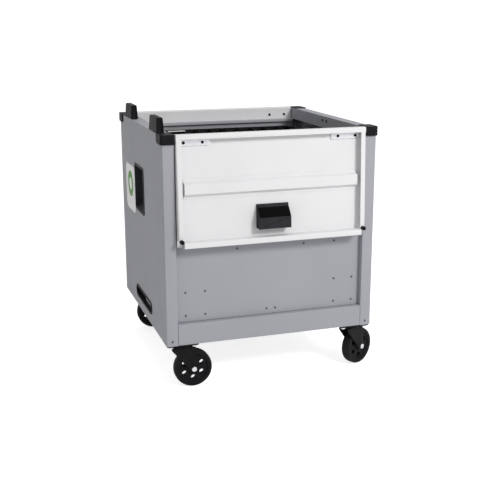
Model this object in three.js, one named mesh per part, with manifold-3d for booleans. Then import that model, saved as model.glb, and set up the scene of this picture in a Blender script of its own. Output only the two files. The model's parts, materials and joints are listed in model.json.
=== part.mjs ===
// Laptop charging cart: a folded sheet cabinet on four swivel castors, loaded from the top,
// with a lid of two leaves that swing up and over and hang down outside the front and back walls.
// Millimetres, +Z up, X to the right along the front, front towards -Y.
import * as THREE from "three";
import { mergeVertices } from "three/addons/utils/BufferGeometryUtils.js";
import Module from "manifold-3d";

const wasm = await Module();
wasm.setup();

// Clearances
const SEAT_GAP = 0.3; // between two pieces that sit on each other
const RUN_GAP = 0.4; // round a pin or axle that turns
const CUTOUT_GAP = 0.5; // round a moulding in its hole
const CUT_PAST = 1; // how far a cutting solid runs past the face it opens

// Cabinet sheet metal
const BODY_WIDTH = 700;
const BODY_DEPTH = 683;
const RAIL_TOP = 664;
const RAIL_DROP = 41;
const POST_WIDTH = 38;
const PANEL_RECESS = 20;
const SHEET = 1.5;
const BEND_RADIUS = 1.5;
const POST_LIP = 17;
const SKIRT_HEIGHT = 70;
const SKIRT_HEM = 12;
const WALL_DROP = 39.5;
const WALL_HEM_WIDTH = 16;
const WALL_HEM_DROP = 10;
const FOOT_LIP = 15;
const VENT_LENGTH = 120;
const VENT_HEIGHT = 7;
const VENT_PITCH = 18;
const VENT_ROWS = 5;
const VENT_COLUMN_X = 110;
const VENT_BOTTOM = 120;

// Corner caps
const CAP_PROUD = 5;
const CAP_HEIGHT = 30;
const CAP_PLATE = 3;
const CAP_SIDE_LENGTH = 63;
const CAP_CORNER_RADIUS = 9;
const CAP_BEVEL = 1.5;
const CAP_END_RADIUS = 12;
const CAP_PLUG_DEPTH = 17;
const CAP_PLUG_RISE = 2;
const PIN_END_ROOM = 2;

// Cord horns on the left rail
const HORN_LENGTH = 112;
const HORN_WIDTH = 25;
const HORN_HEIGHT = 47;
const HORN_DRAFT = 5;
const HORN_CROWN = 6;
const HORN_RADIUS = 4;
const HORN_PROUD = 2;
const HORN_FRONT_INSET = 116.5;
const HORN_REAR_INSET = 164.5;
const HORN_STRIP = 4;

// Recessed carrying handles
const HANDLE_LENGTH = 138;
const HANDLE_HEIGHT = 152;
const HANDLE_Y = 19;
const HANDLE_Z = 441;
const HANDLE_DEPTH = 42;
const HANDLE_SIDE_DRAFT = 8;
const HANDLE_TOP_DRAFT = 28;
const HANDLE_RADIUS = 9;
const MOULDING_WALL = 2.5;
const BEZEL_WIDTH = 5;
const BEZEL_PROUD = 2;

// Power inlet on the left side
const INLET_LENGTH = 252;
const INLET_HEIGHT = 35;
const INLET_Z = 57.5;
const INLET_DEPTH = 38;
const SOCKET_LENGTH = 50;
const SOCKET_HEIGHT = 25;
const SOCKET_DEPTH = 20;
const SOCKET_WALL = 3;
const SOCKET_Y = 60;
const PRONG_WIDTH = 2;
const PRONG_HEIGHT = 5;
const PRONG_PITCH = 8;

// Lid leaves
const PIVOT_INSET = 7.5;
const PIVOT_DROP = 12;
const LEAF_SIDE_GAP = 3;
const LEAF_MEETING_GAP = 4;
const LEAF_ABOVE_PIVOT = 14.5;
const LEAF_FLANGE_OFFSET = 17.5;
const LEAF_DEPTH = 25;
const LEAF_FLANGE = 16;
const LEAF_LEAN_DEG = 2.3;
const LEAF_EDGE_DEPTH = 35;
const LEAF_EDGE_HEIGHT = 18.5;
const LEAF_EDGE_INSET = 15;
const RIB_INSET = 24;
const RIB_RISE = 179;
const RIB_DEPTH = 15;
const RIB_FACE = 29;
const RIB_BASE = 42;
const RIB_FLANGE = 10;
const BUFFER_RISE = 22;
const BUFFER_RADIUS = 6.5;
const BUFFER_HEIGHT = 13;
const BUFFER_HOLE = 3;
const BUFFER_HOLE_DEPTH = 4;
const PULL_WIDTH = 104;
const PULL_RISE = 43;
const PULL_HEIGHT = 75;
const PULL_BAR_DEPTH = 8;
const PULL_BAR_HEIGHT = 7;
const PULL_DEPTH = 34;
const PULL_FACE_HEIGHT = 37;
const PIVOT_PLATE_LENGTH = 95;
const PIVOT_PLATE_HEIGHT = 18;
const PIVOT_PLATE_DROP = 4;
const PIVOT_PLATE = 3;
const PIVOT_EYE_RADIUS = 6.5;
const PIVOT_PIN_RADIUS = 3;
const PIVOT_HEAD_RADIUS = 5.5;
const PIVOT_HEAD = 3;
const PIVOT_PIN_REACH = 24;

// Lid rests on the side rails
const REST_LENGTH = 216;
const REST_SHEET = 3;
const REST_LEDGE = 29;
const REST_LEG = 34;
const REST_GUSSET = 14;
const REST_GUSSET_LENGTH = 20;

// Inside
const SHELF_TOP = 330;
const SHELF_FLANGE = 40;
const CABLE_SLOT_LENGTH = 120;
const CABLE_SLOT_WIDTH = 26;
const CABLE_SLOT_PITCH = 190;
const RACK_SLOTS = 11;
const RACK_HEADROOM = 65.7;
const RACK_WALL_GAP = 15;
const RACK_AISLE = 40;
const RACK_BASE = 4;
const DIVIDER = 3;
const DIVIDER_CORNER = 14;
const SCOOP_WIDTH = 150;
const SCOOP_DEPTH = 70;
const STRIP_LENGTH = 440;
const STRIP_WIDTH = 56;
const STRIP_HEIGHT = 42;
const STRIP_RADIUS = 6;
const STRIP_OUTLETS = 8;
const OUTLET_RADIUS = 17;
const OUTLET_DEPTH = 12;
const STRIP_WALL_GAP = 90;

// Castors
const CASTOR_HEIGHT = 155;
const CASTOR_INSET_X = 54;
const CASTOR_INSET_Y = 41.5;
const CASTOR_TRAIL = 38;
const CASTOR_TURN_FRONT_RIGHT_DEG = 27.5;
const CASTOR_TURN_REAR_RIGHT_DEG = 20;
const PLATE_LENGTH = 104;
const PLATE_WIDTH = 80;
const PLATE = 4;
const PLATE_RADIUS = 8;
const PLATE_HOLE_RADIUS = 4.5;
const PLATE_HOLES_X = 76;
const PLATE_HOLES_Y = 56;
const RACE_RADIUS = 27;
const RACE_HEIGHT = 7;
const KING_PIN_RADIUS = 6;
const KING_HEAD_RADIUS = 10;
const KING_HEAD = 4;
const FORK_SHEET = 3;
const FORK_CROWN_RADIUS = 33;
const FORK_EYE_RADIUS = 15;
const FORK_BROW = 12;
const FORK_SWEEP = 24;
const FORK_BACK_REACH = 4;
const WHEEL_RADIUS = 63.5;
const WHEEL_WIDTH = 32;
const TYRE_THICKNESS = 9;
const TYRE_SHOULDER = 4;
const TYRE_CROWN = 1;
const WHEEL_WEB = 20;
const WHEEL_RIM = 9;
const HUB_RADIUS = 15;
const HUB_FILLET = 2;
const RIM_FLARE = 3;
const WHEEL_HOLES = 6;
const WHEEL_HOLE_RADIUS = 8.5;
const WHEEL_HOLE_PITCH_RADIUS = 33;
const HUB_SIDE_GAP = 0.8;
const AXLE_RADIUS = 5;
const AXLE_HEAD_RADIUS = 9;
const AXLE_HEAD = 7;

// Facets: sides of a full circle, and steps of a quarter curve
const ROUND = 20;
const SMALL_ROUND = 10;
const HOLE_ROUND = 8;
const HEXAGON = 6;
const CAP_STEPS = 5;
const CURVE_STEPS = 3;
const COARSE_STEPS = 2;
const BEND_STEPS = 2;

// Places that follow from the sizes above
const halfWidth = BODY_WIDTH / 2;
const halfDepth = BODY_DEPTH / 2;
const postInner = halfWidth - POST_WIDTH;
const panelFront = halfDepth - PANEL_RECESS;
const panelBack = panelFront - SHEET;
const panelReach = postInner - BEND_RADIUS - SEAT_GAP;
const capTop = RAIL_TOP + SEAT_GAP + CAP_PLATE;
const railBottom = RAIL_TOP - RAIL_DROP;
const wallTop = RAIL_TOP - WALL_DROP;
const hornFrontY = -(halfDepth - HORN_FRONT_INSET);
const hornRearY = halfDepth - HORN_REAR_INSET;
const pivotY = halfDepth - PIVOT_INSET;
const pivotZ = RAIL_TOP - PIVOT_DROP;
const leafHalfWidth = postInner - LEAF_SIDE_GAP;
const leafBelowPivot = pivotY - LEAF_MEETING_GAP / 2;
const leafEdgeHalfWidth = leafHalfWidth - LEAF_EDGE_INSET;
const ribHalfWidth = leafHalfWidth - RIB_INSET;
const ribDrop = leafBelowPivot - RIB_RISE;
const bufferDrop = leafBelowPivot - BUFFER_RISE;
const pullTopDrop = leafBelowPivot - PULL_RISE - PULL_HEIGHT;
const stripY = panelBack - STRIP_WALL_GAP;
const castorX = halfWidth - CASTOR_INSET_X;
const castorY = halfDepth - CASTOR_INSET_Y;
const floorInner = LEAF_DEPTH - LEAF_FLANGE_OFFSET;
const floorOuter = floorInner + SHEET;

// Finishes: one entry for each kind of surface on the cart
const FINISHES = {
  greyPaint: { color: 0x9a9ba1, roughness: 0.5, metalness: 0.1 },
  whitePaint: { color: 0xe6e6e8, roughness: 0.45, metalness: 0.05 },
  blackPlastic: { color: 0x1b1b1d, roughness: 0.55, metalness: 0 },
  blackSteel: { color: 0x161618, roughness: 0.45, metalness: 0.3 },
  zinc: { color: 0xb9bcc0, roughness: 0.35, metalness: 0.9 },
  rubber: { color: 0x1c1c1c, roughness: 0.8, metalness: 0 },
};

// Solids

// A closed solid from a geometry, turned outwards if its outline ran the other way.
function toSolid(geometry) {
  const bare = geometry.clone();
  bare.deleteAttribute("normal");
  bare.deleteAttribute("uv");
  const merged = mergeVertices(bare, 1e-4);
  const make = (triVerts) =>
    new wasm.Manifold(
      new wasm.Mesh({
        numProp: 3,
        vertProperties: merged.attributes.position.array,
        triVerts,
      }),
    );
  const triangles = new Uint32Array(merged.index.array);
  const solid = make(triangles);
  return solid.volume() < 0 ? make(triangles.reverse()) : solid;
}

function toGeometry(solid) {
  const mesh = solid.getMesh();
  const geometry = new THREE.BufferGeometry();
  geometry.setAttribute("position", new THREE.BufferAttribute(mesh.vertProperties, 3));
  geometry.setIndex(new THREE.BufferAttribute(mesh.triVerts, 1));
  return geometry;
}

function join(...pieces) {
  const solids = pieces.map(toSolid);
  return toGeometry(solids.reduce((whole, next) => whole.add(next)));
}

function cut(piece, ...tools) {
  const solids = tools.map(toSolid);
  return toGeometry(solids.reduce((whole, next) => whole.subtract(next), toSolid(piece)));
}

function common(piece, other) {
  return toGeometry(toSolid(piece).intersect(toSolid(other)));
}

// Basic forms

function block(low, high) {
  const size = high.map((value, axis) => value - low[axis]);
  const middle = high.map((value, axis) => (value + low[axis]) / 2);
  return new THREE.BoxGeometry(...size).translate(...middle);
}

function rodX(radius, x0, x1, y = 0, z = 0, sides = SMALL_ROUND) {
  const rod = new THREE.CylinderGeometry(radius, radius, x1 - x0, sides);
  return rod.rotateZ(Math.PI / 2).translate((x0 + x1) / 2, y, z);
}

function rodY(radius, y0, y1, x = 0, z = 0, sides = SMALL_ROUND) {
  const rod = new THREE.CylinderGeometry(radius, radius, y1 - y0, sides);
  return rod.translate(x, (y0 + y1) / 2, z);
}

function rodZ(radius, z0, z1, x = 0, y = 0, sides = ROUND) {
  const rod = new THREE.CylinderGeometry(radius, radius, z1 - z0, sides);
  return rod.rotateX(Math.PI / 2).translate(x, y, (z0 + z1) / 2);
}

// An outline in Y and Z, run along X.
function alongX(shape, x0, x1, curveSegments = CURVE_STEPS) {
  const bar = new THREE.ExtrudeGeometry(shape, { depth: x1 - x0, bevelEnabled: false, curveSegments });
  const axes = new THREE.Matrix4().makeBasis(
    new THREE.Vector3(0, 1, 0),
    new THREE.Vector3(0, 0, 1),
    new THREE.Vector3(1, 0, 0),
  );
  return bar.applyMatrix4(axes).translate(x0, 0, 0);
}

// An outline in X and Z, run along Y.
function alongY(shape, y0, y1, curveSegments = CURVE_STEPS) {
  const bar = new THREE.ExtrudeGeometry(shape, { depth: y1 - y0, bevelEnabled: false, curveSegments });
  return bar.rotateX(Math.PI / 2).translate(0, y1, 0);
}

// An outline in X and Y, run along Z.
function alongZ(shape, z0, z1, curveSegments = CURVE_STEPS) {
  const bar = new THREE.ExtrudeGeometry(shape, { depth: z1 - z0, bevelEnabled: false, curveSegments });
  return bar.translate(0, 0, z0);
}

function roundedRectangle(width, height, radius, centreX = 0, centreY = 0) {
  const right = width / 2 - radius;
  const top = height / 2 - radius;
  const shape = new THREE.Shape();
  shape.absarc(centreX + right, centreY + top, radius, 0, Math.PI / 2);
  shape.absarc(centreX - right, centreY + top, radius, Math.PI / 2, Math.PI);
  shape.absarc(centreX - right, centreY - top, radius, Math.PI, 1.5 * Math.PI);
  shape.absarc(centreX + right, centreY - top, radius, 1.5 * Math.PI, 2 * Math.PI);
  return shape;
}

function polygon(points) {
  return new THREE.Shape(points.map(([x, y]) => new THREE.Vector2(x, y)));
}

// A solid skinned over rounded rectangles of {width, height, radius, at, dy, dz}, stacked along X.
function loftAlongX(sections) {
  const rings = sections.map(({ width, height, radius, at, dy = 0, dz = 0 }) => {
    const points = roundedRectangle(width, height, radius, dy, dz).getPoints(CURVE_STEPS).slice(0, -1);
    return points.map((point) => new THREE.Vector3(at, point.x, point.y));
  });
  const count = rings[0].length;
  const index = [];
  for (let ring = 0; ring + 1 < rings.length; ring++) {
    for (let i = 0; i < count; i++) {
      const a = ring * count + i;
      const b = ring * count + ((i + 1) % count);
      index.push(a, b, b + count, a, b + count, a + count);
    }
  }
  const last = (rings.length - 1) * count;
  for (let i = 1; i + 1 < count; i++) {
    index.push(0, i + 1, i, last, last + i, last + i + 1);
  }
  const geometry = new THREE.BufferGeometry().setFromPoints(rings.flat());
  return geometry.setIndex(index);
}

// The outline of a folded sheet: its skin line with rounded bends, and the same line one sheet
// thickness to the left (side 1) or right (side -1) of the direction of travel.
function foldedSheet(skin, side, thickness = SHEET) {
  const corners = skin.map(([x, y]) => new THREE.Vector2(x, y));
  const near = [];
  const far = [];
  const leftOf = (direction) => new THREE.Vector2(-direction.y, direction.x);
  corners.forEach((corner, i) => {
    const arriving = i > 0 ? corner.clone().sub(corners[i - 1]).normalize() : null;
    const leaving = i + 1 < corners.length ? corners[i + 1].clone().sub(corner).normalize() : null;
    if (!arriving || !leaving) {
      near.push(corner);
      far.push(corner.clone().addScaledVector(leftOf(arriving ?? leaving), side * thickness));
      return;
    }
    const turn = Math.sign(arriving.cross(leaving));
    const angle = Math.acos(THREE.MathUtils.clamp(arriving.dot(leaving), -1, 1));
    const sheetInside = turn === side;
    const nearRadius = BEND_RADIUS + (sheetInside ? thickness : 0);
    const farRadius = BEND_RADIUS + (sheetInside ? 0 : thickness);
    const centre = corner
      .clone()
      .addScaledVector(arriving, -nearRadius * Math.tan(angle / 2))
      .addScaledVector(leftOf(arriving), turn * nearRadius);
    for (let step = 0; step <= BEND_STEPS; step++) {
      const spoke = leftOf(arriving)
        .multiplyScalar(-turn)
        .rotateAround(new THREE.Vector2(), (turn * angle * step) / BEND_STEPS);
      near.push(centre.clone().addScaledVector(spoke, nearRadius));
      far.push(centre.clone().addScaledVector(spoke, farRadius));
    }
  });
  return new THREE.Shape([...near, ...far.reverse()]);
}

function mirroredX(geometry) {
  return geometry.clone().scale(-1, 1, 1);
}

// The assembly

const cart = new THREE.Group();
const body = new THREE.Group();
body.position.z = CASTOR_HEIGHT;
cart.add(body);

function addPiece(parent, name, finish, geometry) {
  const mesh = new THREE.Mesh(
    toGeometry(toSolid(geometry)),
    new THREE.MeshStandardMaterial(FINISHES[finish]),
  );
  mesh.name = name;
  parent.add(mesh);
}

// Cabinet

// Floor and the two skirts, with the hems that the front and back panels stand on.
function baseTray() {
  const hemY = panelBack - SEAT_GAP;
  const skin = [
    [-hemY, SKIRT_HEIGHT - SKIRT_HEM],
    [-hemY, SKIRT_HEIGHT],
    [-halfDepth, SKIRT_HEIGHT],
    [-halfDepth, 0],
    [halfDepth, 0],
    [halfDepth, SKIRT_HEIGHT],
    [hemY, SKIRT_HEIGHT],
    [hemY, SKIRT_HEIGHT - SKIRT_HEM],
  ];
  const reach = postInner - SEAT_GAP;
  return alongX(foldedSheet(skin, 1), -reach, reach);
}

// A wall set back between the posts, with a hem along its top edge.
function wallPanel() {
  const skin = [
    [-(panelFront - WALL_HEM_WIDTH), wallTop - WALL_HEM_DROP],
    [-(panelFront - WALL_HEM_WIDTH), wallTop],
    [-panelFront, wallTop],
    [-panelFront, SKIRT_HEIGHT + SEAT_GAP],
  ];
  return alongX(foldedSheet(skin, 1), -panelReach, panelReach);
}

// Louvre slots that let the chargers' heat out through the back.
function ventSlots() {
  const slots = [];
  for (let row = 0; row < VENT_ROWS; row++) {
    for (const x of [-VENT_COLUMN_X, VENT_COLUMN_X]) {
      const z = VENT_BOTTOM + row * VENT_PITCH;
      const outline = roundedRectangle(VENT_LENGTH, VENT_HEIGHT, VENT_HEIGHT / 2, x, z);
      slots.push(alongY(outline, -panelFront - SHEET, -panelBack + SHEET, COARSE_STEPS));
    }
  }
  return slots;
}

// The right side: posts, side and lips are one folded sheet, closed by the rail fold and the foot fold.
function sidePanel() {
  const lipY = panelBack - SEAT_GAP;
  const plan = [
    [postInner - POST_LIP, -lipY],
    [postInner, -lipY],
    [postInner, -halfDepth],
    [halfWidth, -halfDepth],
    [halfWidth, halfDepth],
    [postInner, halfDepth],
    [postInner, lipY],
    [postInner - POST_LIP, lipY],
  ];
  const rail = [
    [postInner, railBottom],
    [postInner, RAIL_TOP],
    [halfWidth, RAIL_TOP],
    [halfWidth, railBottom],
  ];
  const foot = [
    [halfWidth, FOOT_LIP],
    [halfWidth, 0],
    [postInner, 0],
    [postInner, FOOT_LIP],
  ];
  const railReach = halfDepth - CAP_SIDE_LENGTH + CAP_PROUD;
  const innerReach = halfDepth - SHEET;
  const walls = alongZ(foldedSheet(plan, 1), 0, RAIL_TOP);
  const lipCut = (z0, z1) =>
    block([postInner - 2 * POST_LIP, -panelFront, z0], [postInner - SEAT_GAP, panelFront, z1]);
  const lipTop = wallTop - WALL_HEM_DROP - SHEET;
  return cut(
    join(
      cut(walls, lipCut(-CUT_PAST, SKIRT_HEIGHT + SHEET), lipCut(lipTop, RAIL_TOP + CUT_PAST)),
      alongY(foldedSheet(rail, -1), -railReach, railReach),
      alongY(foldedSheet(rail.slice(0, 2), -1), -lipY, lipY),
      alongY(foldedSheet(foot, -1), -innerReach, innerReach),
    ),
    ...[-pivotY, pivotY].map((y) =>
      rodX(PIVOT_PIN_RADIUS + RUN_GAP, postInner - SHEET, postInner + 2 * SHEET, y, pivotZ),
    ),
    handleCutout(),
  );
}

// Corner caps, made for the front right corner.
function cornerCap() {
  const outerX = halfWidth + CAP_PROUD;
  const outerY = halfDepth + CAP_PROUD;
  const endY = outerY - CAP_SIDE_LENGTH;
  const innerX = postInner + SEAT_GAP;
  const bottom = capTop - CAP_HEIGHT;
  const plan = new THREE.Shape();
  plan.moveTo(innerX, -endY);
  plan.lineTo(innerX, -outerY);
  const cornerX = outerX - CAP_CORNER_RADIUS;
  const cornerY = -outerY + CAP_CORNER_RADIUS;
  plan.absarc(cornerX, cornerY, CAP_CORNER_RADIUS, -Math.PI / 2, 0);
  plan.lineTo(outerX, -endY);
  const crown = new THREE.ExtrudeGeometry(plan, {
    depth: CAP_HEIGHT - CAP_BEVEL,
    bevelThickness: CAP_BEVEL,
    bevelSize: CAP_BEVEL,
    bevelOffset: -CAP_BEVEL,
    bevelSegments: BEND_STEPS,
    curveSegments: CAP_STEPS,
  }).translate(0, 0, bottom);
  const post = block(
    [postInner - CAP_PROUD, -halfDepth - SEAT_GAP, bottom - CAP_HEIGHT],
    [halfWidth + SEAT_GAP, 0, RAIL_TOP + SEAT_GAP],
  );
  // The lower corner at the end of the side apron is rounded off.
  const end = new THREE.Shape();
  const underCap = bottom - CAP_BEVEL - CUT_PAST;
  end.moveTo(-endY + CUT_PAST, underCap);
  end.lineTo(-endY + CUT_PAST, bottom + CAP_END_RADIUS);
  end.lineTo(-endY, bottom + CAP_END_RADIUS);
  end.absarc(-endY - CAP_END_RADIUS, bottom + CAP_END_RADIUS, CAP_END_RADIUS, 0, -Math.PI / 2, true);
  end.lineTo(-endY - CAP_END_RADIUS, underCap);
  const shell = cut(crown, post, alongX(end, postInner, outerX + CUT_PAST));
  const below = block([0, -BODY_DEPTH, 0], [BODY_WIDTH, 0, bottom]);
  // The plug sits in the open top of the post and takes the pivot pin.
  const plugInset = SHEET + BEND_RADIUS;
  const plug = block(
    [postInner + plugInset, -halfDepth + plugInset, bottom + CAP_PLUG_RISE],
    [halfWidth - plugInset, -halfDepth + plugInset + CAP_PLUG_DEPTH, RAIL_TOP + 2 * SEAT_GAP],
  );
  const boreEnd = postInner + PIVOT_PIN_REACH + PIN_END_ROOM;
  const bore = rodX(PIVOT_PIN_RADIUS + RUN_GAP, postInner, boreEnd, -pivotY, pivotZ);
  return cut(join(cut(shell, below), plug), bore);
}

// A cord horn: a tapered block with a crowned top; the rear one stands on a strip that runs to the cap.
function cordHorn(middleY, stripEndY) {
  const base = RAIL_TOP + SEAT_GAP;
  const x = -(halfWidth + HORN_PROUD - HORN_WIDTH / 2);
  const section = (width, length, at) => ({ width: length, height: width, radius: HORN_RADIUS, at });
  const crownAt = HORN_HEIGHT - HORN_CROWN;
  const horn = loftAlongX([
    section(HORN_WIDTH, HORN_LENGTH, 0),
    section(HORN_WIDTH - HORN_DRAFT / 2, HORN_LENGTH - HORN_DRAFT, crownAt),
    section(HORN_WIDTH - HORN_DRAFT, HORN_LENGTH - 2 * HORN_DRAFT, HORN_HEIGHT - HORN_CROWN / 4),
    section(HORN_WIDTH - 2 * HORN_DRAFT, HORN_LENGTH - 4 * HORN_DRAFT, HORN_HEIGHT),
  ]);
  // The stack runs along X as lofted; stand it up along Z.
  horn.rotateY(-Math.PI / 2).translate(x, middleY, base);
  const low = Math.min(stripEndY, middleY);
  const high = Math.max(stripEndY, middleY);
  const strip = block([x - HORN_WIDTH / 2, low, base], [x + HORN_WIDTH / 2, high, base + HORN_STRIP]);
  return join(horn, strip);
}

// Recessed carrying handle, made for the right side.
function handleCutout() {
  const outline = roundedRectangle(
    HANDLE_LENGTH + 2 * CUTOUT_GAP,
    HANDLE_HEIGHT + 2 * CUTOUT_GAP,
    HANDLE_RADIUS + CUTOUT_GAP,
    HANDLE_Y,
    HANDLE_Z,
  );
  return alongX(outline, halfWidth - 2 * SHEET, halfWidth + SHEET);
}

function carryingHandle() {
  const face = halfWidth + SEAT_GAP;
  const sized = (inset, draftY, draftZ, at) => ({
    width: HANDLE_LENGTH - 2 * (inset + draftY),
    height: HANDLE_HEIGHT - 2 * (inset + draftZ),
    radius: HANDLE_RADIUS - inset,
    dy: HANDLE_Y,
    dz: HANDLE_Z,
    at,
  });
  const bottom = halfWidth - HANDLE_DEPTH;
  const outside = loftAlongX([
    sized(0, HANDLE_SIDE_DRAFT, HANDLE_TOP_DRAFT, bottom),
    sized(0, 0, 0, halfWidth - SHEET),
    sized(0, 0, 0, face + BEZEL_PROUD),
  ]);
  const inside = loftAlongX([
    sized(MOULDING_WALL, HANDLE_SIDE_DRAFT, HANDLE_TOP_DRAFT, bottom + MOULDING_WALL),
    sized(MOULDING_WALL, 0, 0, halfWidth - SHEET),
    sized(MOULDING_WALL, 0, 0, face + 2 * BEZEL_PROUD),
  ]);
  const bezel = alongX(
    roundedRectangle(
      HANDLE_LENGTH + 2 * BEZEL_WIDTH,
      HANDLE_HEIGHT + 2 * BEZEL_WIDTH,
      HANDLE_RADIUS + BEZEL_WIDTH,
      HANDLE_Y,
      HANDLE_Z,
    ),
    face,
    face + BEZEL_PROUD,
  );
  return cut(join(outside, bezel), inside);
}

// Power inlet tray: a slot with round ends let into the left side.
function inletOutline(grow) {
  const height = INLET_HEIGHT + 2 * grow;
  return roundedRectangle(INLET_LENGTH + 2 * grow, height, height / 2, 0, INLET_Z);
}

function inletTray() {
  const face = -halfWidth - SEAT_GAP;
  const bottom = -halfWidth + INLET_DEPTH;
  const outside = alongX(inletOutline(0), face - BEZEL_PROUD, bottom);
  const bezel = alongX(inletOutline(BEZEL_WIDTH), face - BEZEL_PROUD, face);
  const inside = alongX(inletOutline(-MOULDING_WALL), face - 2 * BEZEL_PROUD, bottom - MOULDING_WALL);
  return cut(join(outside, bezel), inside);
}

// The appliance inlet at the bottom of the tray, with three prongs in its well.
function inletSocket() {
  const back = -halfWidth + INLET_DEPTH - MOULDING_WALL - SEAT_GAP;
  const front = back - SOCKET_DEPTH;
  const sides = (grow) => {
    const half = SOCKET_LENGTH / 2 - grow;
    const top = INLET_Z + SOCKET_HEIGHT / 2 - grow;
    const low = INLET_Z - SOCKET_HEIGHT / 2 + grow;
    const chamfer = SOCKET_HEIGHT / 4;
    return polygon([
      [SOCKET_Y - half, low],
      [SOCKET_Y + half, low],
      [SOCKET_Y + half, top - chamfer],
      [SOCKET_Y + half - chamfer, top],
      [SOCKET_Y - half + chamfer, top],
      [SOCKET_Y - half, top - chamfer],
    ]);
  };
  const well = alongX(sides(SOCKET_WALL), front - CUT_PAST, back - SOCKET_WALL);
  const shell = cut(alongX(sides(0), front, back), well);
  const prongs = [-PRONG_PITCH, 0, PRONG_PITCH].map((y) =>
    block(
      [front + SOCKET_WALL, SOCKET_Y + y - PRONG_WIDTH / 2, INLET_Z - PRONG_HEIGHT / 2],
      [back - SOCKET_WALL / 2, SOCKET_Y + y + PRONG_WIDTH / 2, INLET_Z + PRONG_HEIGHT / 2],
    ),
  );
  return join(shell, ...prongs);
}

// A ledge that catches the lid buffers; its leg is screwed behind the right rail's inner face.
function lidRest() {
  const legX = postInner + SHEET + SEAT_GAP;
  const closedBuffer = pivotZ - LEAF_FLANGE_OFFSET - SEAT_GAP - BUFFER_HEIGHT;
  const top = closedBuffer - SEAT_GAP;
  const profile = [
    [postInner - REST_LEDGE, top],
    [legX, top],
    [legX, top + REST_LEG],
  ];
  const ledge = alongY(foldedSheet(profile, -1, REST_SHEET), -REST_LENGTH / 2, REST_LENGTH / 2);
  const gussetOutline = polygon([
    [postInner - REST_LEDGE, top - REST_SHEET / 2],
    [legX, top - REST_SHEET / 2],
    [legX, top - REST_GUSSET],
    [postInner - REST_LEDGE, top - REST_SHEET],
  ]);
  const gussets = [-1, 1].map((end) => {
    const outer = (end * REST_LENGTH) / 2;
    const inner = outer - end * REST_GUSSET_LENGTH;
    return alongY(gussetOutline, Math.min(inner, outer), Math.max(inner, outer));
  });
  return join(ledge, ...gussets);
}

// Inside

const shelfReach = postInner - POST_LIP - CUTOUT_GAP;

// Shelf: its front and rear flanges are screwed to the walls, and cables drop through its slots.
function equipmentShelf() {
  const flangeY = panelBack - SEAT_GAP;
  const skin = [
    [-flangeY, SHELF_TOP - SHELF_FLANGE],
    [-flangeY, SHELF_TOP],
    [flangeY, SHELF_TOP],
    [flangeY, SHELF_TOP - SHELF_FLANGE],
  ];
  const slots = [-CABLE_SLOT_PITCH, 0, CABLE_SLOT_PITCH].map((x) => {
    const outline = roundedRectangle(CABLE_SLOT_LENGTH, CABLE_SLOT_WIDTH, CABLE_SLOT_WIDTH / 2, x, 0);
    return alongZ(outline, SHELF_TOP - 2 * SHEET, SHELF_TOP + SHEET);
  });
  return cut(alongX(foldedSheet(skin, -1), -shelfReach, shelfReach), ...slots);
}

// A rack of upright dividers on a base plate, for one row of laptops; scooped so a hand can reach in.
function deviceRack() {
  const low = SHELF_TOP + SEAT_GAP;
  const near = RACK_AISLE / 2;
  const far = panelBack - RACK_WALL_GAP;
  const top = RAIL_TOP - RACK_HEADROOM;
  const middle = (near + far) / 2;
  const outline = new THREE.Shape();
  outline.moveTo(near, low);
  outline.lineTo(far, low);
  outline.absarc(far - DIVIDER_CORNER, top - DIVIDER_CORNER, DIVIDER_CORNER, 0, Math.PI / 2);
  const scoopFloor = top - SCOOP_DEPTH;
  const half = SCOOP_WIDTH / 2;
  outline.lineTo(middle + half, top);
  outline.bezierCurveTo(middle + half / 2, top, middle + half / 2, scoopFloor, middle, scoopFloor);
  outline.bezierCurveTo(middle - half / 2, scoopFloor, middle - half / 2, top, middle - half, top);
  outline.absarc(near + DIVIDER_CORNER, top - DIVIDER_CORNER, DIVIDER_CORNER, Math.PI / 2, Math.PI);
  const reach = shelfReach - CUTOUT_GAP;
  const pitch = (2 * reach - DIVIDER) / RACK_SLOTS;
  const pieces = [block([-reach, near, low], [reach, far, low + RACK_BASE])];
  for (let i = 0; i <= RACK_SLOTS; i++) {
    const x = -reach + i * pitch;
    pieces.push(alongX(outline, x, x + DIVIDER));
  }
  return join(...pieces);
}

// Power strip on the cabinet floor, with a row of round outlets.
function powerStrip() {
  const low = SHEET + SEAT_GAP;
  const top = low + STRIP_HEIGHT;
  const outline = roundedRectangle(STRIP_WIDTH, STRIP_HEIGHT, STRIP_RADIUS, stripY, (low + top) / 2);
  const pitch = STRIP_LENGTH / STRIP_OUTLETS;
  const outlets = [];
  for (let i = 0; i < STRIP_OUTLETS; i++) {
    const x = (i + 0.5) * pitch - STRIP_LENGTH / 2;
    outlets.push(rodZ(OUTLET_RADIUS, top - OUTLET_DEPTH, top + CUT_PAST, x, stripY, SMALL_ROUND));
  }
  return cut(alongX(outline, -STRIP_LENGTH / 2, STRIP_LENGTH / 2, COARSE_STEPS), ...outlets);
}

// Lid leaves, each in a frame with the pivot axis along X at its origin, hanging straight down,
// with its inner side towards -Y.

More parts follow.
